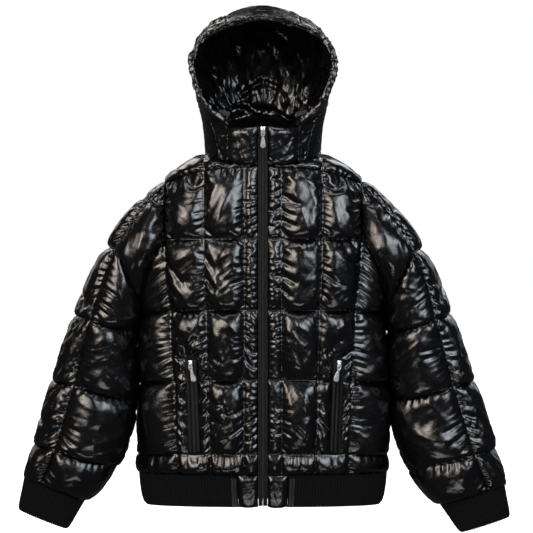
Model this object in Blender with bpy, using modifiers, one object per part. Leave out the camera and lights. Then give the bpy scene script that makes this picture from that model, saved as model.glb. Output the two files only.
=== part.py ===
"""Hooded puffer jacket, worn and hollow: quilted body, sleeves and hood, knit hem and cuffs, zips.

Metres, +Z up, the front towards -Y. The origin is the point between the shoulders where the
wearer holds the jacket up. "right" is the wearer's right, at -X, and "left" is at +X.

The body is one surface torso(q, v). q runs round it: 0 is the front zip, 1 to 3 are the quilting
columns of the left front, 4 is the left side seam, 8 the centre back, 12 the right side seam and
16 the zip again. v runs up it: 0 is the knit hem's seam, 1 to 4 are the quilting rows, 5 is the
yoke seam and 6 the neck seam and the ridge of the shoulder.
"""

import math

import bmesh
import bpy
from mathutils import Matrix, Vector

COLLECTION_NAME = "puffer_jacket"

# Cloth and seams
BODY_WALL = 0.003
HOOD_WALL = 0.0045
COLLAR_WALL = 0.005
LINING_WALL = 0.002
KNIT_WALL = 0.004
SEAM_GAP = 0.0003
BODY_PUFF = 0.012
SLEEVE_PUFF = 0.010
INNER_SLEEVE_PUFF = 0.005
HOOD_PUFF = 0.006
COLLAR_PUFF = 0.004
TAB_PUFF = 0.003

# Body rings, bottom to top, one for each seam row v = 0 to 5
RING_POWER = 2.4
YOKE_DROP_POWER = 1.37
TORSO_RINGS = (
    # z_front, z_side, z_back, half_width, front, back, line_1, line_2, line_3
    (-0.619, -0.619, -0.619, 0.238, 0.120, 0.114, 0.036, 0.100, 0.162),
    (-0.578, -0.580, -0.578, 0.240, 0.124, 0.118, 0.036, 0.100, 0.162),
    (-0.438, -0.447, -0.440, 0.238, 0.126, 0.120, 0.036, 0.104, 0.168),
    (-0.305, -0.310, -0.305, 0.230, 0.126, 0.120, 0.035, 0.108, 0.176),
    (-0.169, -0.172, -0.169, 0.240, 0.121, 0.118, 0.035, 0.113, 0.188),
    (-0.031, -0.075, -0.075, 0.203, 0.104, 0.098, 0.035, 0.113, 0.188),
)
UNDERARM_V = 3.16
YOKE_TIP_HEIGHT = 0.0014
ZIP_EDGE_X = 0.009

# Neck seam: an oval, lower at the front, and the ridge of the shoulder
NECK_HALF_WIDTH = 0.113
NECK_CENTRE_Y = -0.0095
NECK_DEPTH = 0.0945
NECK_FRONT_Z = -0.029
NECK_BACK_Z = 0.010
SHOULDER_TIP = Vector((0.188, 0.0, -0.056))

# Neck angle (0 at the zip, 180 at the back) for places round the body
ZIP_Q = (ZIP_EDGE_X / 0.035) ** (RING_POWER / 2)
YOKE_TIP_Q = 0.6
NECK_ANGLES = (
    # q, angle
    (0.0, 0.0),
    (ZIP_Q, 4.6),
    (YOKE_TIP_Q, 11.7),
    (1.0, 18.0),
    (4 / 3, 37.0),
    (5 / 3, 63.5),
    (2.0, 90.0),
    (6.0, 90.0),
    (19 / 3, 110.0),
    (20 / 3, 130.0),
    (7.0, 150.0),
    (7.5, 165.0),
    (8.0, 180.0),
)
COLLAR_END_ANGLE = 37.0

# Sleeve rings: one for each quilting row and the cuff's seam. outer and inner are the ends of
# the ring seen from the front, depth is half its size along Y, arch lifts its front and back.
SLEEVE_POWER = 2.2
SLEEVE_RINGS = {
    "right": (
        # outer_x, outer_z, inner_x, inner_z, depth, y, arch
        (0.297, -0.186, 0.243, -0.300, 0.088, 0.000, 0.035),
        (0.361, -0.316, 0.250, -0.346, 0.086, -0.004, 0.000),
        (0.403, -0.439, 0.252, -0.478, 0.074, -0.010, 0.000),
        (0.440, -0.561, 0.287, -0.602, 0.067, -0.018, 0.000),
        (0.460, -0.627, 0.344, -0.672, 0.050, -0.024, 0.000),
    ),
    "left": (
        (0.305, -0.190, 0.244, -0.302, 0.088, 0.000, 0.035),
        (0.360, -0.313, 0.251, -0.345, 0.086, -0.004, 0.000),
        (0.406, -0.442, 0.253, -0.480, 0.074, -0.010, 0.000),
        (0.448, -0.572, 0.289, -0.611, 0.067, -0.018, 0.000),
        (0.466, -0.643, 0.342, -0.680, 0.050, -0.024, 0.000),
    ),
}
SLEEVE_LINE_ANGLES = (-25.0, 80.0, 205.0, 270.0, 335.0)
ARMHOLE_GAP = 0.0008
SLEEVE_SIDE_SWELL = 0.014
SLEEVE_HEAD_SWELL = 0.006  # keeps the sleeve head clear of the body below the armhole
CUFF_ENDS = {
    "right": (0.4735, -0.6890, 0.3755, -0.7285, 0.036, -0.029),
    "left": (0.4780, -0.7030, 0.3790, -0.7350, 0.036, -0.029),
}
CUFF_PROFILE = (
    # share of the cuff's length, shrink at that place
    (0.0, 1.0),
    (0.35, 0.99),
    (0.75, 0.985),
    (0.93, 0.97),
    (1.0, 0.92),
)
HEM_PROFILE = (
    # drop below the hem's seam, width compared with the seam
    (0.0, 1.006),
    (0.020, 1.000),
    (0.043, 0.985),
    (0.056, 0.968),
    (0.0615, 0.945),
)
HEM_TAB_Q = 1.17

# Hood sections from the face opening (k = 0) back to the neck seam (k = 7). Each is a half
# arch: neck seam, low, flare, side, corner, top.
HOOD_SECTIONS = (
    # neck_angle, low, flare, side, corner, top (y, z)
    (37.0, (0.0705, -0.0885, 0.043), (0.1145, -0.096, 0.086), (0.1405, -0.094, 0.165),
     (0.108, -0.085, 0.226), (-0.075, 0.2605)),
    (50.25, (0.100, -0.068, 0.040), (0.122, -0.058, 0.090), (0.137, -0.045, 0.165),
     (0.108, -0.040, 0.238), (-0.030, 0.278)),
    (63.5, (0.114, -0.040, 0.045), (0.127, -0.018, 0.098), (0.138, 0.000, 0.165),
     (0.107, 0.010, 0.243), (0.020, 0.285)),
    (76.75, (0.117, -0.010, 0.047), (0.127, 0.025, 0.100), (0.132, 0.052, 0.155),
     (0.102, 0.068, 0.226), (0.078, 0.272)),
    (90.0, (0.116, 0.020, 0.040), (0.120, 0.060, 0.085), (0.116, 0.098, 0.130),
     (0.088, 0.118, 0.190), (0.130, 0.232)),
    (100.0, (0.110, 0.047, 0.029), (0.108, 0.078, 0.058), (0.100, 0.110, 0.085),
     (0.075, 0.138, 0.122), (0.158, 0.152)),
    (110.0, (0.106, 0.056, 0.018), (0.100, 0.078, 0.034), (0.088, 0.098, 0.045),
     (0.060, 0.122, 0.062), (0.140, 0.074)),
)
HOOD_NECK_ANGLES = (130.0, 132.5, 135.0, 140.0, 150.0, 180.0)
HOOD_BACK = len(HOOD_SECTIONS)
HOOD_PANEL_SEAM = 4.4
HOOD_CHANNELS = (0.0, 0.8, 1.6, 2.5, 3.5, 4.5, 5.6, 7.0)
LINING_OFFSET = 0.0065
LINING_START = 1.0  # the lining ends above the fold at the neck seam
LINING_END = 6.0
NECK_LIFT = 0.0007

BINDING_HALF_WIDTH = 0.0041
BINDING_HALF_THICKNESS = 0.0060
BINDING_FORWARD = 0.0056
BINDING_START = 1.10
COLLAR_TOP_Z = 0.045

# Zips
TAPE_HALF_WIDTH = 0.0085
TAPE_THICKNESS = 0.0016
TAPE_PROUD = 0.0008
POCKET_LIFT = 0.0008
POCKET_Q = {"right": 2.45, "left": 2.56}
POCKET_CUT = 1 / 6
POCKET_HALF_WIDTH_Q = 0.145
POCKET_LOW_V = 1.03
POCKET_HIGH_V = 2.30
POCKET_CUT_TOP = 2.34

SLIDER_WIDTH = 0.010
SLIDER_LENGTH = 0.014
SLIDER_THICKNESS = 0.0045
BRIDGE_RADIUS = 0.0038
BRIDGE_WIRE = 0.0010
PULLER_AXIS_HEIGHT = 0.0014
PULLER_THICKNESS = 0.0016
PULLER_HOLE_CENTRE = 0.0051
PULLER_HOLE_HALF = (0.0026, 0.0042)
PULLER_OUTLINE = (
    # distance below the axis, half width
    (-0.0009, 0.0000),
    (-0.0006, 0.0022),
    (0.0012, 0.0040),
    (0.0050, 0.0045),
    (0.0090, 0.0036),
    (0.0125, 0.0023),
    (0.0210, 0.0037),
    (0.0280, 0.0050),
    (0.0310, 0.0048),
    (0.0330, 0.0031),
    (0.0340, 0.0000),
)
FRONT_SLIDER_Z = 0.0375
POCKET_SLIDER_V = 2.235
POCKET_PULLER_TILT = math.radians(15)

TAB_SIZE = (0.022, 0.0018, 0.009)
TAB_PLACE = {"right": (-0.0745, -0.088, 0.0715), "left": (0.0740, -0.088, 0.0710)}
TAB_TURN = {"right": math.radians(14), "left": math.radians(-14)}

COLOURS = {
    # base colour, roughness, metallic
    "nylon": ((0.012, 0.012, 0.013, 1.0), 0.22, 0.0),
    "lining": ((0.010, 0.010, 0.011, 1.0), 0.25, 0.0),
    "knit": ((0.010, 0.010, 0.010, 1.0), 0.85, 0.0),
    "tape": ((0.012, 0.012, 0.012, 1.0), 0.70, 0.0),
    "webbing": ((0.060, 0.060, 0.060, 1.0), 0.80, 0.0),
    "metal": ((0.800, 0.800, 0.820, 1.0), 0.15, 1.0),
}


# ---------------------------------------------------------------- curves and tables

def lerp(a, b, t):
    return a + (b - a) * t


def spline(values, t):
    """A smooth curve through values, at places 0, 1, 2 and so on."""
    last = len(values) - 1
    t = min(max(t, 0.0), float(last))
    i = min(int(t), last - 1)
    f = t - i
    b = values[i]
    c = values[i + 1]
    a = values[i - 1] if i > 0 else b * 2 - c
    d = values[i + 2] if i + 2 <= last else c * 2 - b
    slope = (c - a) * 0.5
    bend = a - b * 2.5 + c * 2 - d * 0.5
    twist = (b - c) * 1.5 + (d - a) * 0.5
    return b + slope * f + bend * f * f + twist * f ** 3


def table_at(rows, x):
    """Straight lines between the rows (x, y) of a table."""
    for (x0, y0), (x1, y1) in zip(rows, rows[1:]):
        if x <= x1 and x1 > x0:
            return lerp(y0, y1, (max(x, x0) - x0) / (x1 - x0))
    return rows[-1][1]


def spread(lines, counts):
    """Sample places: each gap between neighbouring lines cut into its own count of steps."""
    places = [lines[0]]
    for low, high, count in zip(lines, lines[1:], counts):
        places += [lerp(low, high, (n + 1) / count) for n in range(count)]
    return places


def box_puff(x, lines):
    """0 on the lines and 1 in the middle between them."""
    for low, high in zip(lines, lines[1:]):
        if low <= x <= high:
            f = (x - low) / (high - low)
            return (4 * f * (1 - f)) ** 0.55
    return 0.0


def half_place(q):
    """A place round the body, folded onto its left half."""
    return round(q if q <= 8 else 16 - q, 6)


# ---------------------------------------------------------------- the body's surface

def neck_curve(angle):
    """The neck seam's smooth oval."""
    a = math.radians(angle)
    front = ((1 + math.cos(a)) / 2) ** 2.2
    back = ((1 - math.cos(a)) / 2) ** 2
    return Vector((
        NECK_HALF_WIDTH * math.sin(a),
        NECK_CENTRE_Y - NECK_DEPTH * math.cos(a),
        NECK_FRONT_Z * front + NECK_BACK_Z * back,
    ))


def neck(angle):
    """The neck seam as the straight stitches between its nodes, so that all pieces meet."""
    side = -1 if angle > 180 else 1
    angle = 360 - angle if angle > 180 else angle
    nodes = sorted({row[1] for row in NECK_ANGLES})
    for low, high in zip(nodes, nodes[1:]):
        if angle <= high:
            break
    f = (angle - low) / (high - low)
    point = neck_curve(low).lerp(neck_curve(high), f)
    point.x *= side
    return point


def neck_normal(angle):
    """The way the cloth faces at the neck seam: outwards, and a little up."""
    a = math.radians(angle)
    up = lerp(0.15, 0.6, (1 - math.cos(a)) / 2)
    return Vector((math.sin(a), -math.cos(a), up)).normalized()


def ring_point(c, v):
    """The body's left half for rows 0 to 5: c is 0 at the front and 8 at the back."""
    columns = [spline([row[i] for row in TORSO_RINGS], v) for i in range(9)]
    z_front, z_side, z_back, half_width, front, back, line_1, line_2, line_3 = columns
    if c > 4:
        line_1 += 0.005
    lines = (0.0, line_1, line_2, line_3, half_width)
    angles = [math.asin(min(1.0, x / half_width) ** (RING_POWER / 2)) for x in lines]
    k = c if c <= 4 else 8 - c
    i = min(int(k), 3)
    angle = lerp(angles[i], angles[i + 1], k - i)
    cosine = max(math.cos(angle), 0.0)
    depth = cosine ** (2 / RING_POWER)
    slope = cosine ** YOKE_DROP_POWER
    z_end = z_front if c <= 4 else z_back
    y = -front * depth if c <= 4 else back * depth
    return Vector((half_width * math.sin(angle) ** (2 / RING_POWER), y, lerp(z_side, z_end, slope)))


def top_point(c):
    """The upper edge of the yokes: the neck seam, then the ridge of the shoulder."""
    if c < 2 or c > 6:
        return neck(table_at(NECK_ANGLES, c))
    f = c - 2 if c <= 3 else 6 - c
    return neck(90.0).lerp(SHOULDER_TIP, f)


def half_torso(c, v):
    if v <= 5:
        point = ring_point(c, v)
        if c < 1 and v > 4:
            # beside the zip the front panel runs up to the collar
            goal = neck(table_at(NECK_ANGLES, c)) - Vector((0, 0, YOKE_TIP_HEIGHT))
            goal = goal.lerp(ring_point(c, 5), max(0.0, (c - YOKE_TIP_Q) / (1 - YOKE_TIP_Q)))
            point += (goal - ring_point(c, 5)) * (v - 4)
        return point
    low = half_torso(c, 5)
    high = top_point(c)
    s = (v - 5) * math.pi / 2
    back = 1 - math.cos(s)
    rise = math.sin(s)
    return Vector((
        lerp(low.x, high.x, v - 5),
        lerp(low.y, high.y, back),
        lerp(low.z, high.z, rise),
    ))


def torso(q, v):
    if q <= 8:
        return half_torso(max(q, 0.0), v)
    point = half_torso(max(16 - q, 0.0), v)
    point.x = -point.x
    return point


def torso_normal(q, v):
    dq = 0.02
    dv = 0.04
    q_low, q_high = (q - dq, q + dq) if 0.03 < q < 15.97 else (q, q + 0.03)
    round_way = torso(q_high, v) - torso(q_low, v)
    up_way = torso(q, min(v + dv, 6)) - torso(q, max(v - dv, 0))
    return round_way.cross(up_way).normalized()


def armhole_top(c):
    """The row where the front and back end under the arm, for c from 3 to 5."""
    f = 1 - abs(c - 4)
    ease = f * f * (3 - 2 * f)
    return lerp(4.0, UNDERARM_V, ease)


ARMHOLE = (
    [(3.0, v) for v in (5, 14 / 3, 13 / 3, 4)]
    + [(c, armhole_top(c)) for c in (10 / 3, 11 / 3, 4.0, 13 / 3, 14 / 3)]
    + [(5.0, v) for v in (4, 13 / 3, 14 / 3, 5, 16 / 3, 17 / 3, 6)]
    + [(3.0, v) for v in (17 / 3, 16 / 3, 5)]
)
ARMHOLE_PLACES = spread((0, 1, 2, 3, 4), (6, 6, 3, 3))


def armhole(u):
    """The armhole seam of the left side. u is the sleeve's column, 0 at its front line."""
    for i, (low, high) in enumerate(zip(ARMHOLE_PLACES, ARMHOLE_PLACES[1:])):
        if u <= high + 1e-9:
            break
    f = (u - low) / (high - low)
    return half_torso(*ARMHOLE[i]).lerp(half_torso(*ARMHOLE[i + 1]), f)


def armhole_normal(u):
    """The way both pieces face at the armhole seam."""
    nearest = min(range(len(ARMHOLE_PLACES)), key=lambda n: abs(ARMHOLE_PLACES[n] - u))
    q, v = ARMHOLE[nearest]
    body = torso_normal(q, v)
    if v > 5.9:
        body = Vector((0.55, 0, 0.83))
    return (body + sleeve_normal("right", u, 0.05)).normalized()


# ---------------------------------------------------------------- the sleeve's surface

def oval(row, angle):
    """A point of a sleeve ring. Angle 0 is the front and 90 the inner side."""
    outer = Vector((row[0], 0, row[1]))
    inner = Vector((row[2], 0, row[3]))
    depth, y, arch = row[4], row[5], row[6] if len(row) > 6 else 0.0
    a = math.radians(angle)
    power = 2 / SLEEVE_POWER
    across = math.copysign(abs(math.sin(a)) ** power, math.sin(a))
    along = math.copysign(abs(math.cos(a)) ** power, math.cos(a))
    centre = (outer + inner) / 2 + Vector((0, y, arch * math.cos(a) ** 2))
    return centre + (inner - outer) / 2 * across + Vector((0, -depth, 0)) * along


def sleeve(side, u, w):
    """The left sleeve's surface (side picks the table): w is 0 at the armhole, 5 at the cuff."""
    u = u % 4 if u > 4 or u < 0 else u
    angle = table_at(tuple(enumerate(SLEEVE_LINE_ANGLES)), u)
    rings = [armhole(u)] + [oval(row, angle) for row in SLEEVE_RINGS[side]]
    share = 4 * w * (1 - w) if w < 1 else 0.0
    to_side = math.sin(math.pi * u) if u < 2 else 0.0
    away = Vector((SLEEVE_HEAD_SWELL, -SLEEVE_SIDE_SWELL * to_side, 0)) * share
    gap = ARMHOLE_GAP * max(1 - w, 0.0)
    return spline(rings, w) + away + Vector((gap, 0, 0))


def sleeve_normal(side, u, w):
    du = 0.02
    dw = 0.04
    round_way = sleeve(side, u + du, w) - sleeve(side, u - du, w)
    down_way = sleeve(side, u, min(w + dw, 5)) - sleeve(side, u, max(w - dw, 0))
    return round_way.cross(down_way).normalized()


def cuff(side, u, w):
    """The cuff: w is 0 at its seam and 1 at its end."""
    angle = table_at(tuple(enumerate(SLEEVE_LINE_ANGLES)), u)
    start = SLEEVE_RINGS[side][-1]
    end = CUFF_ENDS[side]
    row = [lerp(a, b, w) for a, b in zip(start[:6], end)]
    centre = Vector(((row[0] + row[2]) / 2, row[5], (row[1] + row[3]) / 2))
    return centre.lerp(oval(row, angle), table_at(CUFF_PROFILE, w))


# ---------------------------------------------------------------- the hood and collar surfaces

def hood_arch(section):
    """The six points of a half section, as vectors."""
    angle, low, flare, side, corner, top = section
    start = neck(angle) + Vector((0, 0, NECK_LIFT))
    return [start, Vector(low), Vector(flare), Vector(side), Vector(corner), Vector((0, *top))]


def hood_neck_arch():
    return [neck(angle) + Vector((0, 0, NECK_LIFT)) for angle in HOOD_NECK_ANGLES]


HOOD_ARCHES = [hood_arch(section) for section in HOOD_SECTIONS] + [hood_neck_arch()]
HOOD_FOOT = [(k, row[0]) for k, row in enumerate(HOOD_SECTIONS)] + [(HOOD_BACK, HOOD_NECK_ANGLES[0])]


def half_hood(s, k):
    if s <= 0:
        return neck(table_at(HOOD_FOOT, k)) + Vector((0, 0, NECK_LIFT))
    if k >= HOOD_BACK:
        return neck(table_at(tuple(enumerate(HOOD_NECK_ANGLES)), s)) + Vector((0, 0, NECK_LIFT))
    columns = [spline([arch[i] for arch in HOOD_ARCHES], k) for i in range(6)]
    mirrored = Vector((-columns[4].x, columns[4].y, columns[4].z))
    return spline(columns + [mirrored], s)


def hood(s, k):
    """s is 0 at the left end of the arch, 5 at the top and 10 at the right end."""
    if s <= 5:
        return half_hood(s, k)
    point = half_hood(10 - s, k)
    point.x = -point.x
    return point


def hood_normal(s, k):
    if s <= 0 or s >= 10:
        angle = table_at(HOOD_FOOT, k)
        return neck_normal(angle if s <= 0 else -angle)
    if k >= HOOD_BACK:
        angle = table_at(tuple(enumerate(HOOD_NECK_ANGLES)), s if s <= 5 else 10 - s)
        return neck_normal(angle if s <= 5 else -angle)
    ds = 0.03
    dk = 0.03
    round_way = hood(min(s + ds, 10), k) - hood(max(s - ds, 0), k)
    back_way = hood(s, min(k + dk, HOOD_BACK)) - hood(s, max(k - dk, 0))
    return back_way.cross(round_way).normalized()


def half_collar(angle, w):
    low = neck(angle) + Vector((0, 0, NECK_LIFT))
    high = Vector((low.x * 1.035, low.y * 1.02 - 0.002, COLLAR_TOP_Z))
    point = low.lerp(high, w)
    end_low = neck(COLLAR_END_ANGLE) + Vector((0, 0, NECK_LIFT))
    end_high = Vector((end_low.x * 1.035, end_low.y * 1.02 - 0.002, COLLAR_TOP_Z))
    share = min(max((angle - 18) / (COLLAR_END_ANGLE - 18), 0.0), 1.0)
    return point + (half_hood(w, 0) - end_low.lerp(end_high, w)) * share


def collar_normal(angle, w):
    if angle >= COLLAR_END_ANGLE:
        return hood_normal(max(w, 0.001), 0)
    round_way = half_collar(angle + 0.5, w) - half_collar(max(angle - 0.5, 0), w)
    up_way = half_collar(angle, 1) - half_collar(angle, 0)
    return round_way.cross(up_way).normalized()


# ---------------------------------------------------------------- hem

def hem(q, w):
    """The hem below the body: w counts the rows of its profile."""
    drop = table_at([(i, row[0]) for i, row in enumerate(HEM_PROFILE)], w)
    width = table_at([(i, row[1]) for i, row in enumerate(HEM_PROFILE)], w)
    point = torso(q, 0)
    return Vector((point.x * width, point.y * width, point.z - drop))


def hem_normal(q, w):
    if w <= 0:
        return torso_normal(q, 0)
    round_way = hem(q + 0.02, w) - hem(max(q - 0.02, 0), w)
    up_way = hem(q, max(w - 0.5, 0)) - hem(q, min(w + 0.5, len(HEM_PROFILE) - 1))
    return round_way.cross(up_way).normalized()


# ---------------------------------------------------------------- making the pieces

def make_material(name):
    material = bpy.data.materials.new(name)
    material.use_nodes = True
    shader = material.node_tree.nodes["Principled BSDF"]
    colour, roughness, metallic = COLOURS[name]
    shader.inputs["Base Color"].default_value = colour
    shader.inputs["Roughness"].default_value = roughness
    shader.inputs["Metallic"].default_value = metallic
    return material


class Model:
    """The collection that the pieces go in, and their materials."""

    def __init__(self):
        self.collection = bpy.data.collections.new(COLLECTION_NAME)
        self.cutters = bpy.data.collections.new("cutters")
        for collection in (self.collection, self.cutters):
            bpy.context.scene.collection.children.link(collection)
        self.materials = {name: make_material(name) for name in COLOURS}

    def add_mesh(self, name, bm, material, smooth_angle=50):
        bmesh.ops.recalc_face_normals(bm, faces=bm.faces)
        mesh = bpy.data.meshes.new(name)
        bm.to_mesh(mesh)
        bm.free()
        mesh.shade_smooth()
        mesh.set_sharp_from_angle(angle=math.radians(smooth_angle))
        mesh.materials.append(self.materials[material])
        piece = bpy.data.objects.new(name, mesh)
        self.collection.objects.link(piece)
        return piece


def edge_uses(quads):
    """How many quads each edge belongs to: one on the border, two elsewhere."""
    uses = {}
    for quad in quads:
        for a, b in zip(quad, quad[1:] + quad[:1]):
            edge = frozenset((a, b))
            uses[edge] = uses.get(edge, 0) + 1
    return uses


def inset(points, uses):
    """Moves the border of a grid in by half a seam gap."""
    inner_ways = {}
    border_ways = {}
    for edge, count in uses.items():
        a, b = tuple(edge)
        ways = border_ways if count == 1 else inner_ways
        for start, end in ((a, b), (b, a)):
            way = (points[end] - points[start]).normalized()
            ways.setdefault(start, []).append(way)
    moves = {}
    for key, ways in border_ways.items():
        inward = inner_ways.get(key, [])
        total = sum(inward, Vector()) if inward else sum(ways, Vector())
        length = SEAM_GAP / 2 * (1 if inward else 2 ** 0.5)
        moves[key] = total.normalized() * length
    return {key: point + moves.get(key, Vector()) for key, point in points.items()}


def cloth(model, name, material, quads, surface, normal, wall, puff=None, sink=0.0, mirror=False):
    """A closed wall over a grid of quads. Each key of the grid is a pair (a, b) of places on
    the surface. The outer side is the surface plus its puff, the inner side is wall deep."""
    keys = sorted({key for quad in quads for key in quad})
    uses = edge_uses(quads)
    points = inset({key: surface(*key) for key in keys}, uses)
    bm = bmesh.new()
    outer = {}
    inner = {}
    flip = Vector((-1, 1, 1)) if mirror else Vector((1, 1, 1))
    for key in keys:
        way = normal(*key)
        rise = puff(*key) if puff else 0.0
        outer[key] = bm.verts.new((points[key] + way * (rise - sink)) * flip)
        inner[key] = bm.verts.new((points[key] - way * (wall + sink)) * flip)
    for quad in quads:
        bm.faces.new([outer[key] for key in quad])
        bm.faces.new([inner[key] for key in reversed(quad)])
        for a, b in zip(quad, quad[1:] + quad[:1]):
            if uses[frozenset((a, b))] == 1:
                bm.faces.new((outer[b], outer[a], inner[a], inner[b]))
    return model.add_mesh(name, bm, material)


def grid(across, up, keep=None):
    """The quads between two lists of places. keep says which cells exist."""
    quads = []
    for i, (a, b) in enumerate(zip(across, across[1:])):
        for j, (c, d) in enumerate(zip(up, up[1:])):
            if keep is None or keep(i, j):
                quads.append(((a, c), (b, c), (b, d), (a, d)))
    return quads


def closed_grid(around, up):
    """The same for a ring whose last place is its first."""
    places = around[:-1]
    following = places[1:] + places[:1]
    return [((a, c), (b, c), (b, d), (a, d))
            for a, b in zip(places, following) for c, d in zip(up, up[1:])]


# Sample places round the body
def front_places(side):
    cut = POCKET_Q[side]
    return (
        [ZIP_Q, YOKE_TIP_Q]
        + spread((1, 2), (3,))
        + [cut - POCKET_CUT, cut + POCKET_CUT]
        + spread((3, 4), (3,))
    )


BACK_HALF_PLACES = spread((4, 7, 8), (9, 2))
BACK_PLACES = BACK_HALF_PLACES + [16 - q for q in reversed(BACK_HALF_PLACES[:-1])]
BODY_ROWS = spread((0, 1, 5), (2, 12))
YOKE_ROWS = spread((5, 6), (3,))
BOX_LINES = (0, 1, 2, 3, 4, 5, 6, 7, 9, 10, 11, 12, 13, 14, 15, 16)


def row_under_arm(q, v):
    """Rows 3 to 4 are squeezed under the armhole."""
    c = half_place(q)
    if 3 < c < 5 and v > 3:
        return lerp(3.0, armhole_top(c), v - 3)
    return v


def body_point(q, v):
    return torso(q, row_under_arm(q, v))


def armhole_place(c, v):
    """The sleeve's place u for a point on the armhole's seam, or None."""
    actual = armhole_top(c) if 3 < c < 5 and v == 4 else v
    c = 5 if v == 6 else c
    for place, (q, row) in zip(ARMHOLE_PLACES, ARMHOLE):
        if abs(q - c) < 1e-6 and abs(row - actual) < 1e-6:
            return place
    return None


def body_normal(q, v):
    c = half_place(q)
    v = round(v, 6)
    side = Vector((1, 1, 1)) if q <= 8 else Vector((-1, 1, 1))
    on_seam = (c in (3, 5) and v >= 4) or (3 < c < 5 and v == 4)
    if on_seam:
        place = armhole_place(c, v)
        if place is not None:
            return armhole_normal(place) * side
    if v == 6:
        if 2 < c < 6:
            return Vector((0.55, 0, 0.83)).normalized() * side
        angle = table_at(NECK_ANGLES, c)
        return neck_normal(angle) * side
    if v >= 5 and c < YOKE_TIP_Q + 0.01:
        return neck_normal(table_at(NECK_ANGLES, c)) * side
    return torso_normal(q, row_under_arm(q, v))


def body_puff(q, v):
    c = half_place(q)
    side = "left" if q <= 8 else "right"
    height = BODY_PUFF * box_puff(q, BOX_LINES) * box_puff(v, (0, 1, 2, 3, 4, 5, 6))
    beside_pocket = abs(c - POCKET_Q[side]) < POCKET_CUT + 1e-6
    if beside_pocket and v <= POCKET_CUT_TOP:
        return 0.0
    if 3 < c < 5:
        height *= 0.1 if v > 3 else 0.55
    if v < 1:
        height *= 0.6
    return height


def make_body(model):
    for side in ("right", "left"):
        places = front_places(side)
        if side == "right":
            places = [16 - q for q in reversed(places)]

        def keep(i, j, places=places):
            middle = (places[i] + places[i + 1]) / 2
            c = middle if middle <= 8 else 16 - middle
            return c < 3 or BODY_ROWS[j] < 3.999

        quads = grid(places, BODY_ROWS, keep)
        cloth(model, "front_" + side, "nylon", quads, body_point, body_normal, BODY_WALL, body_puff)
        yoke = [q for q in front_places(side) if YOKE_TIP_Q <= q <= 3]
        if side == "right":
            yoke = [16 - q for q in reversed(yoke)]
        quads = grid(yoke, YOKE_ROWS)
        cloth(model, "yoke_" + side, "nylon", quads, body_point, body_normal, BODY_WALL,
              lambda q, v: body_puff(q, v) * 0.35)

    def keep_back(i, j):
        middle = (BACK_PLACES[i] + BACK_PLACES[i + 1]) / 2
        return 5 < middle < 11 or BODY_ROWS[j] < 3.999

    quads = grid(BACK_PLACES, BODY_ROWS, keep_back)
    cloth(model, "back", "nylon", quads, body_point, body_normal, BODY_WALL, body_puff)
    yoke = [q for q in BACK_PLACES if 4.999 < q < 11.001]
    cloth(model, "back_yoke", "nylon", grid(yoke, YOKE_ROWS), body_point, body_normal,
          BODY_WALL, lambda q, v: body_puff(q, v) * 0.6)


def make_sleeves(model):
    rows = spread((0, 4, 5), (12, 2))
    lines = (0, 1, 2, 3, 4)
    for side in ("right", "left"):
        def point(u, w, side=side):
            return sleeve(side, u, w)

        def normal(u, w, side=side):
            return armhole_normal(u) if w == 0 else sleeve_normal(side, u, w)

        def puff(u, w):
            towards_body = 0 < u < 2
            height = INNER_SLEEVE_PUFF if towards_body else SLEEVE_PUFF
            if towards_body and w < 1:
                height *= w
            return height * box_puff(u, lines) * box_puff(w, (0, 1, 2, 3, 4, 5))

        mirror = side == "right"
        under = [u for u in ARMHOLE_PLACES if u <= 2]
        upper = [u for u in ARMHOLE_PLACES if u >= 2]
        for name, places in (("sleeve_under_", under), ("sleeve_upper_", upper)):
            cloth(model, name + side, "nylon", grid(places, rows), point, normal,
                  BODY_WALL, puff, mirror=mirror)

        def cuff_point(u, w, side=side):
            return cuff(side, u, w)

        def cuff_normal(u, w, side=side):
            if w == 0:
                return sleeve_normal(side, u, 5)
            after = cuff(side, u + 0.02, w) if u < 3.98 else cuff(side, 0.02, w)
            before = cuff(side, u - 0.02, w) if u > 0.02 else cuff(side, 3.98, w)
            down = cuff(side, u, min(w + 0.05, 1)) - cuff(side, u, w - 0.05)
            return (after - before).cross(down).normalized()

        cuff_rows = [row[0] for row in CUFF_PROFILE]
        quads = closed_grid(ARMHOLE_PLACES, cuff_rows)
        cloth(model, "cuff_" + side, "knit", quads, cuff_point, cuff_normal, KNIT_WALL,
              mirror=mirror)


def make_hem(model):
    rows = list(range(len(HEM_PROFILE)))
    left = [q for q in front_places("left") if q > HEM_TAB_Q]
    right = [16 - q for q in reversed(front_places("right")) if q > HEM_TAB_Q]
    around = [HEM_TAB_Q] + left + BACK_PLACES[1:-1] + right + [16 - HEM_TAB_Q]
    cloth(model, "hem_rib", "knit", grid(around, rows), hem, hem_normal, KNIT_WALL)
    tab = [q for q in front_places("left") if q < HEM_TAB_Q] + [HEM_TAB_Q]

    def puff(q, w):
        return TAB_PUFF if w == 1 and q not in (tab[0], tab[-1]) else 0.0

    for side in ("right", "left"):
        cloth(model, "hem_tab_" + side, "nylon", grid(tab, rows), hem, hem_normal, BODY_WALL,
              puff, mirror=side == "right")


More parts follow.
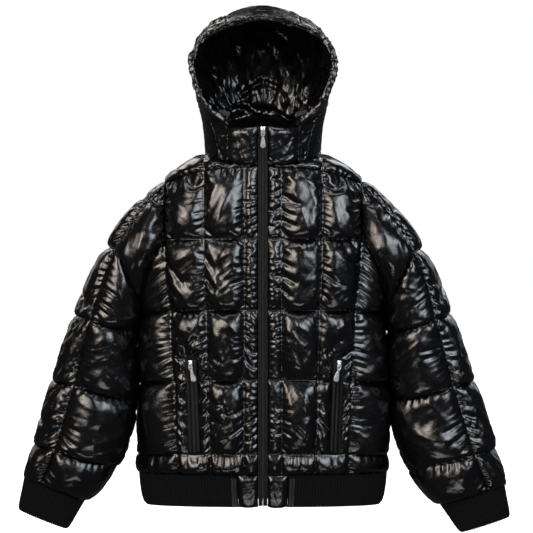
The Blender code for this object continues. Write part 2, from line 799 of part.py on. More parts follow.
def make_hood(model):
    def puff(s, k):
        line = (HOOD_PANEL_SEAM, 10 - HOOD_PANEL_SEAM)
        across = box_puff(s, (0, line[0], line[1], 10))
        return HOOD_PUFF * across * box_puff(k, HOOD_CHANNELS)

    stations = spread(tuple(range(HOOD_BACK + 1)), (2,) * HOOD_BACK)
    centre = [HOOD_PANEL_SEAM, 4.7, 5.0, 5.3, 10 - HOOD_PANEL_SEAM]
    cloth(model, "hood_centre", "nylon", grid(centre, stations), hood, hood_normal, HOOD_WALL, puff)
    side_places = [0.0, 0.5, 1.0, 1.6, 2.3, 3.0, 3.7, HOOD_PANEL_SEAM]
    for side in ("right", "left"):
        cloth(model, "hood_side_" + side, "nylon", grid(side_places, stations), hood, hood_normal,
              HOOD_WALL, puff, mirror=side == "right")
    lined = [s for s in side_places if s >= LINING_START]
    across = lined + [5.0] + [10 - s for s in reversed(lined)]
    lined_rows = [k for k in stations if k <= LINING_END]
    cloth(model, "hood_lining", "lining", grid(across, lined_rows), hood, hood_normal,
          LINING_WALL, sink=LINING_OFFSET)


def make_binding(model):
    """The stitched edge of the face opening: a flat rounded tube in front of the hood's edge."""
    bm = bmesh.new()
    rings = []
    steps = 32
    for n in range(steps + 1):
        s = lerp(BINDING_START, 10 - BINDING_START, n / steps)
        edge = hood(s, 0)
        way = hood_normal(s, 0)
        forward = (edge - hood(s, 0.1)).normalized()
        forward = (forward - way * forward.dot(way)).normalized()
        centre = edge + forward * BINDING_FORWARD - way * (BINDING_HALF_THICKNESS - 0.0015)
        ring = []
        for m in range(8):
            a = math.radians(22.5 + 45 * m)
            x = math.copysign(abs(math.cos(a)) ** 0.7, math.cos(a)) * BINDING_HALF_WIDTH
            y = math.copysign(abs(math.sin(a)) ** 0.7, math.sin(a)) * BINDING_HALF_THICKNESS
            ring.append(bm.verts.new(centre + forward * x + way * y))
        rings.append(ring)
    for ring, following in zip(rings, rings[1:]):
        for m in range(8):
            bm.faces.new((ring[m], ring[(m + 1) % 8], following[(m + 1) % 8], following[m]))
    bm.faces.new(rings[0])
    bm.faces.new(list(reversed(rings[-1])))
    model.add_mesh("hood_binding", bm, "nylon")


def make_collar(model):
    angles = [row[1] for row in NECK_ANGLES if 4 < row[1] < COLLAR_END_ANGLE]
    angles += [27.5, COLLAR_END_ANGLE]
    rows = [0.0, 0.25, 0.5, 0.75, 1.0]

    def puff(angle, w):
        return COLLAR_PUFF * box_puff(angle, (4.6, COLLAR_END_ANGLE)) * box_puff(w, (0, 1))

    def normal(angle, w):
        return neck_normal(angle) if w == 0 else collar_normal(angle, w)

    for side in ("right", "left"):
        cloth(model, "collar_" + side, "nylon", grid(angles, rows), half_collar, normal,
              COLLAR_WALL, puff, mirror=side == "right")


def make_hood_tabs(model):
    for side in ("right", "left"):
        bm = bmesh.new()
        bmesh.ops.create_cube(bm, size=1.0)
        bmesh.ops.scale(bm, vec=TAB_SIZE, verts=bm.verts)
        turn = Matrix.Rotation(TAB_TURN[side], 4, "Y")
        bmesh.ops.transform(bm, matrix=Matrix.Translation(TAB_PLACE[side]) @ turn, verts=bm.verts)
        model.add_mesh("hood_tab_" + side, bm, "webbing")


# ---------------------------------------------------------------- zips

def front_line():
    """Points (y, z) up the front edge, from the hem to the collar's top."""
    line = [hem(ZIP_Q, w) for w in (3, 2, 1)]
    line += [torso(ZIP_Q, v) for v in BODY_ROWS[:-1]]
    line += [half_collar(4.6, w) for w in (0.0, 0.25, 0.5, 0.75, 1.0)]
    return line


def make_front_zip(model):
    line = front_line()
    places = list(range(len(line)))

    def point(x, n):
        return Vector((x, line[n].y - TAPE_PROUD, line[n].z))

    def normal(x, n):
        along = line[min(n + 1, len(line) - 1)] - line[max(n - 1, 0)]
        return Vector((0, -along.z, along.y)).normalized()

    for side in ("right", "left"):
        cloth(model, "zip_tape_" + side, "tape", grid([0.0, TAPE_HALF_WIDTH], places), point,
              normal, TAPE_THICKNESS, mirror=side == "right")


def pocket_frame(side):
    """Where the pocket's slider sits: its place on the tape and the way it faces."""
    q = POCKET_Q[side] if side == "left" else 16 - POCKET_Q[side]
    place = torso(q, POCKET_SLIDER_V)
    out = torso_normal(q, POCKET_SLIDER_V)
    out = Vector((out.x, out.y, 0)).normalized()
    return place + out * (POCKET_LIFT + TAPE_THICKNESS + 0.0006), out


def make_pocket_zips(model):
    rows = [POCKET_LOW_V, 4 / 3, 5 / 3, 2.0, POCKET_HIGH_V]
    for side in ("right", "left"):
        middle = POCKET_Q[side]
        across = [middle - POCKET_HALF_WIDTH_Q, middle, middle + POCKET_HALF_WIDTH_Q]
        cloth(model, "pocket_tape_" + side, "tape", grid(across, rows), torso, torso_normal,
              TAPE_THICKNESS, sink=-(POCKET_LIFT + TAPE_THICKNESS), mirror=side == "right")


def slider_matrix(place, out, tilt=0.0):
    """Local +Z up the zip, local -Y out of the cloth."""
    y_way = -out
    x_way = y_way.cross(Vector((0, 0, 1))).normalized()
    frame = Matrix((x_way, y_way, Vector((0, 0, 1)))).transposed().to_4x4()
    return Matrix.Translation(place) @ frame @ Matrix.Rotation(tilt, 4, "Y")


def bridge_mesh():
    """The bail on the slider's face, as a bent wire."""
    data = bpy.data.curves.new("bridge", "CURVE")
    data.dimensions = "3D"
    data.bevel_depth = BRIDGE_WIRE
    data.bevel_resolution = 2
    data.use_fill_caps = True
    steps = 10
    line = data.splines.new("POLY")
    line.points.add(steps + 2)
    angles = [math.pi * n / steps for n in range(steps + 1)]
    points = [(0, -SLIDER_THICKNESS - BRIDGE_RADIUS * math.sin(a), BRIDGE_RADIUS * math.cos(a))
              for a in angles]
    sunk = -SLIDER_THICKNESS * 0.6
    points = [(0, sunk, BRIDGE_RADIUS)] + points + [(0, sunk, -BRIDGE_RADIUS)]
    for target, place in zip(line.points, points):
        target.co = (*place, 1)
    curve = bpy.data.objects.new("bridge", data)
    bpy.context.scene.collection.objects.link(curve)
    bpy.context.view_layer.update()
    evaluated = curve.evaluated_get(bpy.context.evaluated_depsgraph_get())
    mesh = bpy.data.meshes.new_from_object(evaluated)
    bpy.data.objects.remove(curve)
    bm = bmesh.new()
    bm.from_mesh(mesh)
    bmesh.ops.remove_doubles(bm, verts=bm.verts, dist=0.00001)
    bmesh.ops.recalc_face_normals(bm, faces=bm.faces)
    bm.to_mesh(mesh)
    bm.free()
    return mesh


def make_slider(model, name, matrix):
    """A zip slider: a rounded block, narrower at its lower end, with the bail on its face."""
    bm = bmesh.new()
    bmesh.ops.create_cube(bm, size=1.0)
    bmesh.ops.scale(bm, vec=(SLIDER_WIDTH, SLIDER_THICKNESS, SLIDER_LENGTH), verts=bm.verts)
    bmesh.ops.translate(bm, vec=(0, -SLIDER_THICKNESS / 2, 0), verts=bm.verts)
    for vert in bm.verts:
        if vert.co.z < 0:
            vert.co.x *= 0.72
        if vert.co.y < -SLIDER_THICKNESS / 2:
            vert.co.x *= 0.86
    piece = model.add_mesh(name, bm, "metal", smooth_angle=35)
    piece.matrix_world = matrix
    bevel = piece.modifiers.new("rounding", "BEVEL")
    bevel.width = 0.0008
    bevel.segments = 2
    wire = bpy.data.objects.new(name + "_bridge", bridge_mesh())
    model.cutters.objects.link(wire)
    wire.matrix_world = matrix
    wire.hide_render = True
    wire.display_type = "WIRE"
    join = piece.modifiers.new("bridge", "BOOLEAN")
    join.operation = "UNION"
    join.object = wire
    return piece


def make_puller(model, name, matrix):
    """A teardrop pull tab with an oval eye, its origin on the pin line under the bail."""
    data = bpy.data.curves.new(name, "CURVE")
    data.dimensions = "2D"
    data.fill_mode = "BOTH"
    data.extrude = PULLER_THICKNESS / 2
    right = [(half, -drop) for drop, half in PULLER_OUTLINE]
    left = [(-half, -drop) for drop, half in reversed(PULLER_OUTLINE[1:-1])]
    steps = 16
    width, length = PULLER_HOLE_HALF
    hole = [(width * math.cos(2 * math.pi * n / steps),
             -PULLER_HOLE_CENTRE + length * math.sin(2 * math.pi * n / steps))
            for n in range(steps)]
    for outline in (right + left, hole):
        line = data.splines.new("POLY")
        line.points.add(len(outline) - 1)
        line.use_cyclic_u = True
        for target, (x, y) in zip(line.points, outline):
            target.co = (x, y, 0, 1)
    curve = bpy.data.objects.new(name + "_outline", data)
    bpy.context.scene.collection.objects.link(curve)
    bpy.context.view_layer.update()
    evaluated = curve.evaluated_get(bpy.context.evaluated_depsgraph_get())
    mesh = bpy.data.meshes.new_from_object(evaluated)
    bpy.data.objects.remove(curve)
    bm = bmesh.new()
    bm.from_mesh(mesh)
    bmesh.ops.remove_doubles(bm, verts=bm.verts, dist=0.00001)
    bmesh.ops.rotate(bm, matrix=Matrix.Rotation(math.pi / 2, 3, "X"), verts=bm.verts)
    piece = model.add_mesh(name, bm, "metal", smooth_angle=35)
    lift = Vector((0, -(SLIDER_THICKNESS + PULLER_AXIS_HEIGHT), 0))
    piece.matrix_world = matrix @ Matrix.Translation(lift)
    return piece


def make_sliders(model):
    line = front_line()
    top = line[-1]
    low = line[-3]
    y = lerp(top.y, low.y, (top.z - FRONT_SLIDER_Z) / (top.z - low.z))
    place = Vector((0, y - TAPE_PROUD - 0.0006, FRONT_SLIDER_Z))
    matrix = slider_matrix(place, Vector((0, -1, 0)))
    make_slider(model, "zip_slider", matrix)
    make_puller(model, "zip_puller", matrix)
    for side in ("right", "left"):
        place, out = pocket_frame(side)
        make_slider(model, "pocket_slider_" + side, slider_matrix(place, out))
        tilt = -POCKET_PULLER_TILT if side == "right" else POCKET_PULLER_TILT
        make_puller(model, "pocket_puller_" + side, slider_matrix(place, out, tilt))


def main():
    for piece in list(bpy.data.objects):
        bpy.data.objects.remove(piece)
    model = Model()
    make_body(model)
    make_sleeves(model)
    make_hem(model)
    make_hood(model)
    make_binding(model)
    make_collar(model)
    make_hood_tabs(model)
    make_front_zip(model)
    make_pocket_zips(model)
    make_sliders(model)


main()
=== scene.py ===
"""Looks of the hooded puffer jacket: swollen quilting, crumpled lining, ribs, zips and stitches.

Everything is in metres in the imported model's frame. "right" is the wearer's right, at -X. The
body is one surface torso(q, v): q runs round it from the zip (0) over the left side seam (4), the
centre back (8) and the right side seam (12) to the zip again (16), and v runs up it from the
hem's seam (0) over the quilting rows to the yoke seam (5) and the neck (6). sleeve(side, u, w)
and hood(s, k) are the same for the sleeves and the hood. The quilted panels are fine grids on
these surfaces. Their cloth is longer than the surface, and it swells between the seam lines.
"""

import math
from concurrent.futures import ThreadPoolExecutor

import bmesh
import bpy
import numpy as np
from mathutils import Matrix, Vector


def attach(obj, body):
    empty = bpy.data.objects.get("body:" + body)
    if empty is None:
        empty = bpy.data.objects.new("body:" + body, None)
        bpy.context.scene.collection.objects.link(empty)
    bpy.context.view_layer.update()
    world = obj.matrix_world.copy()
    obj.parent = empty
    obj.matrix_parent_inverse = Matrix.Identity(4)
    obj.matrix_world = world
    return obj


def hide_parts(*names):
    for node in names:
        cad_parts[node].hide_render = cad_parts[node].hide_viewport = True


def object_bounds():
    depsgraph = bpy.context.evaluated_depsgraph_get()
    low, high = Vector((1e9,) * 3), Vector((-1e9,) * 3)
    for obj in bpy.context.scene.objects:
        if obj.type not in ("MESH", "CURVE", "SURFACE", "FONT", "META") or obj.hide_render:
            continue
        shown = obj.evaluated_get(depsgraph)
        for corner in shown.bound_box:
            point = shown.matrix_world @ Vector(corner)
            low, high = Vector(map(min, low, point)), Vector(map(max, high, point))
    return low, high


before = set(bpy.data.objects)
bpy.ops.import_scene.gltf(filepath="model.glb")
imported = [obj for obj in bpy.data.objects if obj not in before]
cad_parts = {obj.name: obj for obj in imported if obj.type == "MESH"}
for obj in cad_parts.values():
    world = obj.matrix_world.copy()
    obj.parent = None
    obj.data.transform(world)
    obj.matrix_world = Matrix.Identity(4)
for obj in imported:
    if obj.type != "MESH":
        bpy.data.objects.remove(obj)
CAD_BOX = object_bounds()

SIDES = ("right", "left")
FLIP = {"right": Vector((-1, 1, 1)), "left": Vector((1, 1, 1))}

# Body rings, bottom to top, one for each seam row v = 0 to 5
RING_POWER = 2.4
YOKE_DROP_POWER = 1.37
BACK_LINE_SHIFT = 0.005  # the back's first seam line is this much farther out
TORSO_RINGS = (
    # z_front, z_side, z_back, half_width, front, back, line_1, line_2, line_3
    (-0.619, -0.619, -0.619, 0.238, 0.120, 0.114, 0.036, 0.100, 0.162),
    (-0.578, -0.580, -0.578, 0.240, 0.124, 0.118, 0.036, 0.100, 0.162),
    (-0.438, -0.447, -0.440, 0.238, 0.126, 0.120, 0.036, 0.104, 0.168),
    (-0.305, -0.310, -0.305, 0.230, 0.126, 0.120, 0.035, 0.108, 0.176),
    (-0.169, -0.172, -0.169, 0.240, 0.121, 0.118, 0.035, 0.113, 0.188),
    (-0.031, -0.075, -0.075, 0.203, 0.104, 0.098, 0.035, 0.113, 0.188),
)
UNDERARM_V = 3.16
YOKE_TIP_HEIGHT = 0.0014
ZIP_EDGE_X = 0.009

# Neck seam: an oval, lower at the front, and the ridge of the shoulder
NECK_HALF_WIDTH = 0.113
NECK_CENTRE_Y = -0.0095
NECK_DEPTH = 0.0945
NECK_FRONT_Z = -0.029
NECK_BACK_Z = 0.010
SHOULDER_TIP = Vector((0.188, 0.0, -0.056))

# Neck angle (0 at the zip, 180 at the back) for places round the body, and of the collar
COLLAR_START_ANGLE = 4.6
COLLAR_BEND_ANGLE = 18.0    # from here on the collar bends towards the hood's edge
COLLAR_END_ANGLE = 37.0
ZIP_Q = (ZIP_EDGE_X / 0.035) ** (RING_POWER / 2)
YOKE_TIP_Q = 0.6
NECK_ANGLES = (
    # q, angle
    (0.0, 0.0),
    (ZIP_Q, COLLAR_START_ANGLE),
    (YOKE_TIP_Q, 11.7),
    (1.0, 18.0),
    (4 / 3, 37.0),
    (5 / 3, 63.5),
    (2.0, 90.0),
    (6.0, 90.0),
    (19 / 3, 110.0),
    (20 / 3, 130.0),
    (7.0, 150.0),
    (7.5, 165.0),
    (8.0, 180.0),
)

# Sleeve rings: one for each quilting row and the cuff's seam. outer and inner are the ends of
# the ring seen from the front, depth is half its size along Y, arch lifts its front and back.
SLEEVE_POWER = 2.2
SLEEVE_RINGS = {
    "right": (
        # outer_x, outer_z, inner_x, inner_z, depth, y, arch
        (0.297, -0.186, 0.243, -0.300, 0.088, 0.000, 0.035),
        (0.361, -0.316, 0.250, -0.346, 0.086, -0.004, 0.000),
        (0.403, -0.439, 0.252, -0.478, 0.074, -0.010, 0.000),
        (0.440, -0.561, 0.287, -0.602, 0.067, -0.018, 0.000),
        (0.460, -0.627, 0.344, -0.672, 0.050, -0.024, 0.000),
    ),
    "left": (
        (0.305, -0.190, 0.244, -0.302, 0.088, 0.000, 0.035),
        (0.360, -0.313, 0.251, -0.345, 0.086, -0.004, 0.000),
        (0.406, -0.442, 0.253, -0.480, 0.074, -0.010, 0.000),
        (0.448, -0.572, 0.289, -0.611, 0.067, -0.018, 0.000),
        (0.466, -0.643, 0.342, -0.680, 0.050, -0.024, 0.000),
    ),
}
SLEEVE_LINES = tuple(enumerate((-25.0, 80.0, 205.0, 270.0, 335.0)))  # u, angle
ARMHOLE_GAP = 0.0008
SLEEVE_SIDE_SWELL = 0.014
SLEEVE_HEAD_SWELL = 0.006  # keeps the sleeve head clear of the body below the armhole
CUFF_ENDS = {
    "right": (0.4735, -0.6890, 0.3755, -0.7285, 0.036, -0.029),
    "left": (0.4780, -0.7030, 0.3790, -0.7350, 0.036, -0.029),
}
CUFF_PROFILE = (
    # share of the cuff's length, shrink at that place
    (0.0, 1.0),
    (0.35, 0.99),
    (0.75, 0.985),
    (0.93, 0.97),
    (1.0, 0.92),
)
HEM_PROFILE = (
    # drop below the hem's seam, width compared with the seam
    (0.0, 1.006),
    (0.020, 1.000),
    (0.043, 0.985),
    (0.056, 0.968),
    (0.0615, 0.945),
)
HEM_END = len(HEM_PROFILE) - 1
HEM_TAB_Q = 1.17

# Hood sections from the face opening (k = 0) back to the neck seam (k = 7). Each is a half
# arch: neck seam, low, flare, side, corner, top.
HOOD_SECTIONS = (
    # neck_angle, low, flare, side, corner, top (y, z)
    (37.0, (0.0705, -0.0885, 0.043), (0.1145, -0.096, 0.086), (0.1405, -0.094, 0.165),
     (0.108, -0.085, 0.226), (-0.075, 0.2605)),
    (50.25, (0.100, -0.068, 0.040), (0.122, -0.058, 0.090), (0.137, -0.045, 0.165),
     (0.108, -0.040, 0.238), (-0.030, 0.278)),
    (63.5, (0.114, -0.040, 0.045), (0.127, -0.018, 0.098), (0.138, 0.000, 0.165),
     (0.107, 0.010, 0.243), (0.020, 0.285)),
    (76.75, (0.117, -0.010, 0.047), (0.127, 0.025, 0.100), (0.132, 0.052, 0.155),
     (0.102, 0.068, 0.226), (0.078, 0.272)),
    (90.0, (0.116, 0.020, 0.040), (0.120, 0.060, 0.085), (0.116, 0.098, 0.130),
     (0.088, 0.118, 0.190), (0.130, 0.232)),
    (100.0, (0.110, 0.047, 0.029), (0.108, 0.078, 0.058), (0.100, 0.110, 0.085),
     (0.075, 0.138, 0.122), (0.158, 0.152)),
    (110.0, (0.106, 0.056, 0.018), (0.100, 0.078, 0.034), (0.088, 0.098, 0.045),
     (0.060, 0.122, 0.062), (0.140, 0.074)),
)
HOOD_NECK_ANGLES = (130.0, 132.5, 135.0, 140.0, 150.0, 180.0)
HOOD_BACK = len(HOOD_SECTIONS)
HOOD_PANEL_SEAM = 4.4
HOOD_CHANNELS = (0.0, 0.8, 1.6, 2.5, 3.5, 4.5, 5.6, 7.0)
LINING_OFFSET = 0.0065
NECK_LIFT = 0.0007

BINDING_HALF_WIDTH = 0.0041
BINDING_HALF_THICKNESS = 0.0060
BINDING_FORWARD = 0.0056
BINDING_START = 1.10
COLLAR_TOP_Z = 0.045

# Zips
TAPE_HALF_WIDTH = 0.0085
TAPE_THICKNESS = 0.0016
TAPE_PROUD = 0.0008
POCKET_LIFT = 0.0008
POCKET_Q = {"right": 2.45, "left": 2.56}
POCKET_LOW_V = 1.03
POCKET_HIGH_V = 2.30

TAB_SIZE = (0.022, 0.0018, 0.009)
TAB_PLACE = {"right": (-0.0745, -0.088, 0.0715), "left": (0.0740, -0.088, 0.0710)}
TAB_TURN = {"right": math.radians(14), "left": math.radians(-14)}


# ---------------------------------------------------------------- curves and tables

def lerp(a, b, t):
    return a + (b - a) * t


def spline(values, t):
    """A smooth curve through values, at places 0, 1, 2 and so on."""
    last = len(values) - 1
    t = min(max(t, 0.0), float(last))
    i = min(int(t), last - 1)
    f = t - i
    b = values[i]
    c = values[i + 1]
    a = values[i - 1] if i > 0 else b * 2 - c
    d = values[i + 2] if i + 2 <= last else c * 2 - b
    slope = (c - a) * 0.5
    bend = a - b * 2.5 + c * 2 - d * 0.5
    twist = (b - c) * 1.5 + (d - a) * 0.5
    return b + slope * f + bend * f * f + twist * f ** 3


def table_at(rows, x):
    """Straight lines between the rows (x, y) of a table."""
    for (x0, y0), (x1, y1) in zip(rows, rows[1:]):
        if x <= x1 and x1 > x0:
            return lerp(y0, y1, (max(x, x0) - x0) / (x1 - x0))
    return rows[-1][1]


def half_place(q):
    """A place round the body, folded onto its left half."""
    return round(q if q <= 8 else 16 - q, 6)


# ---------------------------------------------------------------- the body's surface

def neck_curve(angle):
    """The neck seam's smooth oval."""
    a = math.radians(angle)
    front = ((1 + math.cos(a)) / 2) ** 2.2
    back = ((1 - math.cos(a)) / 2) ** 2
    return Vector((
        NECK_HALF_WIDTH * math.sin(a),
        NECK_CENTRE_Y - NECK_DEPTH * math.cos(a),
        NECK_FRONT_Z * front + NECK_BACK_Z * back,
    ))


def neck(angle):
    """The neck seam on both sides: angles above 180 are the right side's."""
    if angle > 180:
        point = neck_curve(360 - angle)
        return Vector((-point.x, point.y, point.z))
    return neck_curve(angle)


def neck_normal(angle):
    """The way the cloth faces at the neck seam: outwards, and a little up."""
    a = math.radians(angle)
    up = lerp(0.15, 0.6, (1 - math.cos(a)) / 2)
    return Vector((math.sin(a), -math.cos(a), up)).normalized()


def ring_point(c, v):
    """The body's left half for rows 0 to 5: c is 0 at the front and 8 at the back."""
    columns = [spline([row[i] for row in TORSO_RINGS], v) for i in range(9)]
    z_front, z_side, z_back, half_width, front, back, line_1, line_2, line_3 = columns
    if c > 4:
        line_1 += BACK_LINE_SHIFT
    lines = (0.0, line_1, line_2, line_3, half_width)
    angles = [math.asin(min(1.0, x / half_width) ** (RING_POWER / 2)) for x in lines]
    k = c if c <= 4 else 8 - c
    i = min(int(k), 3)
    angle = lerp(angles[i], angles[i + 1], k - i)
    cosine = max(math.cos(angle), 0.0)
    depth = cosine ** (2 / RING_POWER)
    slope = cosine ** YOKE_DROP_POWER
    z_end = z_front if c <= 4 else z_back
    y = -front * depth if c <= 4 else back * depth
    x = half_width * math.sin(angle) ** (2 / RING_POWER)
    return Vector((x, y, lerp(z_side, z_end, slope)))


def top_point(c):
    """The upper edge of the yokes: the neck seam, then the ridge of the shoulder."""
    if c < 2 or c > 6:
        return neck(table_at(NECK_ANGLES, c))
    f = c - 2 if c <= 3 else 6 - c
    return neck(90.0).lerp(SHOULDER_TIP, f)


def half_torso(c, v):
    if v <= 5:
        point = ring_point(c, v)
        if c < 1 and v > 4:
            # beside the zip the front panel runs up to the collar
            goal = neck(table_at(NECK_ANGLES, c)) - Vector((0, 0, YOKE_TIP_HEIGHT))
            goal = goal.lerp(ring_point(c, 5), max(0.0, (c - YOKE_TIP_Q) / (1 - YOKE_TIP_Q)))
            point += (goal - ring_point(c, 5)) * (v - 4)
        return point
    low = half_torso(c, 5)
    high = top_point(c)
    s = (v - 5) * math.pi / 2
    back = 1 - math.cos(s)
    rise = math.sin(s)
    return Vector((
        lerp(low.x, high.x, v - 5),
        lerp(low.y, high.y, back),
        lerp(low.z, high.z, rise),
    ))


def torso(q, v):
    if q <= 8:
        return half_torso(max(q, 0.0), v)
    point = half_torso(max(16 - q, 0.0), v)
    point.x = -point.x
    return point


def torso_normal(q, v):
    dq = 0.02
    dv = 0.04
    q_low, q_high = (q - dq, q + dq) if 0.03 < q < 15.97 else (q, q + 0.03)
    round_way = torso(q_high, v) - torso(q_low, v)
    up_way = torso(q, min(v + dv, 6)) - torso(q, max(v - dv, 0))
    return round_way.cross(up_way).normalized()


def armhole_top(c):
    """The row where the front and back end under the arm, for c from 3 to 5."""
    f = 1 - abs(c - 4)
    ease = f * f * (3 - 2 * f)
    return lerp(4.0, UNDERARM_V, ease)


def armhole_spot(u):
    """The body's place (c, v) beside the sleeve's column u: 0 is the front yoke seam, 1 is under
    the arm, 2 the back yoke seam and 3 the ridge of the shoulder."""
    if u <= 0.5:
        return 3.0, 5 - 2 * u
    if u <= 1.5:
        c = 3 + 2 * (u - 0.5)
        return c, armhole_top(c)
    if u <= 2:
        return 5.0, 4 + 2 * (u - 1.5)
    if u <= 3:
        return 5.0, 3 + u
    return 3.0, 9 - u


def armhole_column(c, v):
    """The other way round: the sleeve's column beside a place on the body's armhole edge."""
    if v <= 4:
        return 0.5 + (c - 3) / 2
    if c <= 3:
        return (5 - v) / 2 if v <= 5 else 9 - v
    return 1.5 + (v - 4) / 2 if v <= 5 else v - 3


def armhole(u):
    c, v = armhole_spot(u)
    if v > 5.999:
        return SHOULDER_TIP.copy()
    return half_torso(c, v)


def armhole_normal(u):
    """The way both pieces face at the armhole seam."""
    c, v = armhole_spot(u % 4 if u > 4 or u < 0 else u)
    body = Vector((0.55, 0, 0.83)) if v > 5.9 else torso_normal(c, v)
    return (body + sleeve_normal("right", u, 0.05)).normalized()


# ---------------------------------------------------------------- the sleeve's surface

def oval(row, angle):
    """A point of a sleeve ring. Angle 0 is the front and 90 the inner side."""
    outer = Vector((row[0], 0, row[1]))
    inner = Vector((row[2], 0, row[3]))
    depth, y, arch = row[4], row[5], row[6] if len(row) > 6 else 0.0
    a = math.radians(angle)
    power = 2 / SLEEVE_POWER
    across = math.copysign(abs(math.sin(a)) ** power, math.sin(a))
    along = math.copysign(abs(math.cos(a)) ** power, math.cos(a))
    centre = (outer + inner) / 2 + Vector((0, y, arch * math.cos(a) ** 2))
    return centre + (inner - outer) / 2 * across + Vector((0, -depth, 0)) * along


def sleeve(side, u, w):
    """The left sleeve's surface (side picks the table): w is 0 at the armhole, 5 at the cuff."""
    u = u % 4 if u > 4 or u < 0 else u
    angle = table_at(SLEEVE_LINES, u)
    rings = [armhole(u)] + [oval(row, angle) for row in SLEEVE_RINGS[side]]
    share = 4 * w * (1 - w) if w < 1 else 0.0
    to_side = math.sin(math.pi * u) if u < 2 else 0.0
    away = Vector((SLEEVE_HEAD_SWELL, -SLEEVE_SIDE_SWELL * to_side, 0)) * share
    gap = ARMHOLE_GAP * max(1 - w, 0.0)
    return spline(rings, w) + away + Vector((gap, 0, 0))


def sleeve_normal(side, u, w):
    du = 0.02
    dw = 0.04
    round_way = sleeve(side, u + du, w) - sleeve(side, u - du, w)
    down_way = sleeve(side, u, min(w + dw, 5)) - sleeve(side, u, max(w - dw, 0))
    return round_way.cross(down_way).normalized()


def cuff(side, u, w):
    """The cuff: w is 0 at its seam and 1 at its end."""
    angle = table_at(SLEEVE_LINES, u)
    start = SLEEVE_RINGS[side][-1]
    end = CUFF_ENDS[side]
    row = [lerp(a, b, w) for a, b in zip(start[:6], end)]
    centre = Vector(((row[0] + row[2]) / 2, row[5], (row[1] + row[3]) / 2))
    return centre.lerp(oval(row, angle), table_at(CUFF_PROFILE, w))


# ---------------------------------------------------------------- the hood and collar surfaces

def above_neck(angle):
    """Where the hood and the collar start: just above the neck seam."""
    return neck(angle) + Vector((0, 0, NECK_LIFT))


def hood_arch(section):
    """The six points of a half section, as vectors."""
    angle, *points, top = section
    return [above_neck(angle), *map(Vector, points), Vector((0, *top))]


HOOD_ARCHES = [hood_arch(section) for section in HOOD_SECTIONS]
HOOD_ARCHES.append([above_neck(angle) for angle in HOOD_NECK_ANGLES])
HOOD_FOOT = [(k, row[0]) for k, row in enumerate(HOOD_SECTIONS)]
HOOD_FOOT.append((HOOD_BACK, HOOD_NECK_ANGLES[0]))
HOOD_BACK_FOOT = tuple(enumerate(HOOD_NECK_ANGLES))


def half_hood(s, k):
    if s <= 0:
        return above_neck(table_at(HOOD_FOOT, k))
    if k >= HOOD_BACK:
        return above_neck(table_at(HOOD_BACK_FOOT, s))
    columns = [spline([arch[i] for arch in HOOD_ARCHES], k) for i in range(6)]
    mirrored = Vector((-columns[4].x, columns[4].y, columns[4].z))
    return spline(columns + [mirrored], s)


def hood(s, k):
    """s is 0 at the left end of the arch, 5 at the top and 10 at the right end."""
    if s <= 5:
        return half_hood(s, k)
    point = half_hood(10 - s, k)
    point.x = -point.x
    return point


def hood_normal(s, k):
    if s <= 0 or s >= 10:
        angle = table_at(HOOD_FOOT, k)
        return neck_normal(angle if s <= 0 else -angle)
    if k >= HOOD_BACK:
        angle = table_at(HOOD_BACK_FOOT, s if s <= 5 else 10 - s)
        return neck_normal(angle if s <= 5 else -angle)
    ds = 0.03
    dk = 0.03
    round_way = hood(min(s + ds, 10), k) - hood(max(s - ds, 0), k)
    back_way = hood(s, min(k + dk, HOOD_BACK)) - hood(s, max(k - dk, 0))
    return back_way.cross(round_way).normalized()


def collar_line(angle, w):
    """A straight line up from the neck seam to the collar's top, leaning out a little."""
    low = above_neck(angle)
    return low.lerp(Vector((low.x * 1.035, low.y * 1.02 - 0.002, COLLAR_TOP_Z)), w)


def half_collar(angle, w):
    start = COLLAR_BEND_ANGLE
    share = min(max((angle - start) / (COLLAR_END_ANGLE - start), 0.0), 1.0)
    return collar_line(angle, w) + (half_hood(w, 0) - collar_line(COLLAR_END_ANGLE, w)) * share


def collar_normal(angle, w):
    if angle >= COLLAR_END_ANGLE:
        return hood_normal(max(w, 0.001), 0)
    round_way = half_collar(angle + 0.5, w) - half_collar(max(angle - 0.5, 0), w)
    up_way = half_collar(angle, 1) - half_collar(angle, 0)
    return round_way.cross(up_way).normalized()


# ---------------------------------------------------------------- hem

def hem(q, w):
    """The hem below the body: w counts the rows of its profile."""
    drop = table_at([(i, row[0]) for i, row in enumerate(HEM_PROFILE)], w)
    width = table_at([(i, row[1]) for i, row in enumerate(HEM_PROFILE)], w)
    point = torso(q, 0)
    return Vector((point.x * width, point.y * width, point.z - drop))


def hem_normal(q, w):
    if w <= 0:
        return torso_normal(q, 0)
    round_way = hem(q + 0.02, w) - hem(max(q - 0.02, 0), w)
    up_way = hem(q, max(w - 0.5, 0)) - hem(q, min(w + 0.5, HEM_END))
    return round_way.cross(up_way).normalized()


def row_under_arm(q, v):
    """Rows 3 to 4 are squeezed under the armhole."""
    c = half_place(q)
    if 3 < c < 5 and v > 3:
        return lerp(3.0, armhole_top(c), v - 3)
    return v


def body_point(q, v):
    return torso(q, row_under_arm(q, v))


def body_normal(q, v):
    c = half_place(q)
    v = round(v, 6)
    side = Vector((1, 1, 1)) if q <= 8 else Vector((-1, 1, 1))
    if (c in (3, 5) and v >= 4) or (3 < c < 5 and v == 4):
        return armhole_normal(armhole_column(c, v)) * side
    if v == 6:
        if 2 < c < 6:
            return Vector((0.55, 0, 0.83)).normalized() * side
        return neck_normal(table_at(NECK_ANGLES, c)) * side
    if v >= 5 and c < YOKE_TIP_Q + 0.01:
        return neck_normal(table_at(NECK_ANGLES, c)) * side
    return torso_normal(q, row_under_arm(q, v))


# ---------------------------------------------------------------- fine grids of points

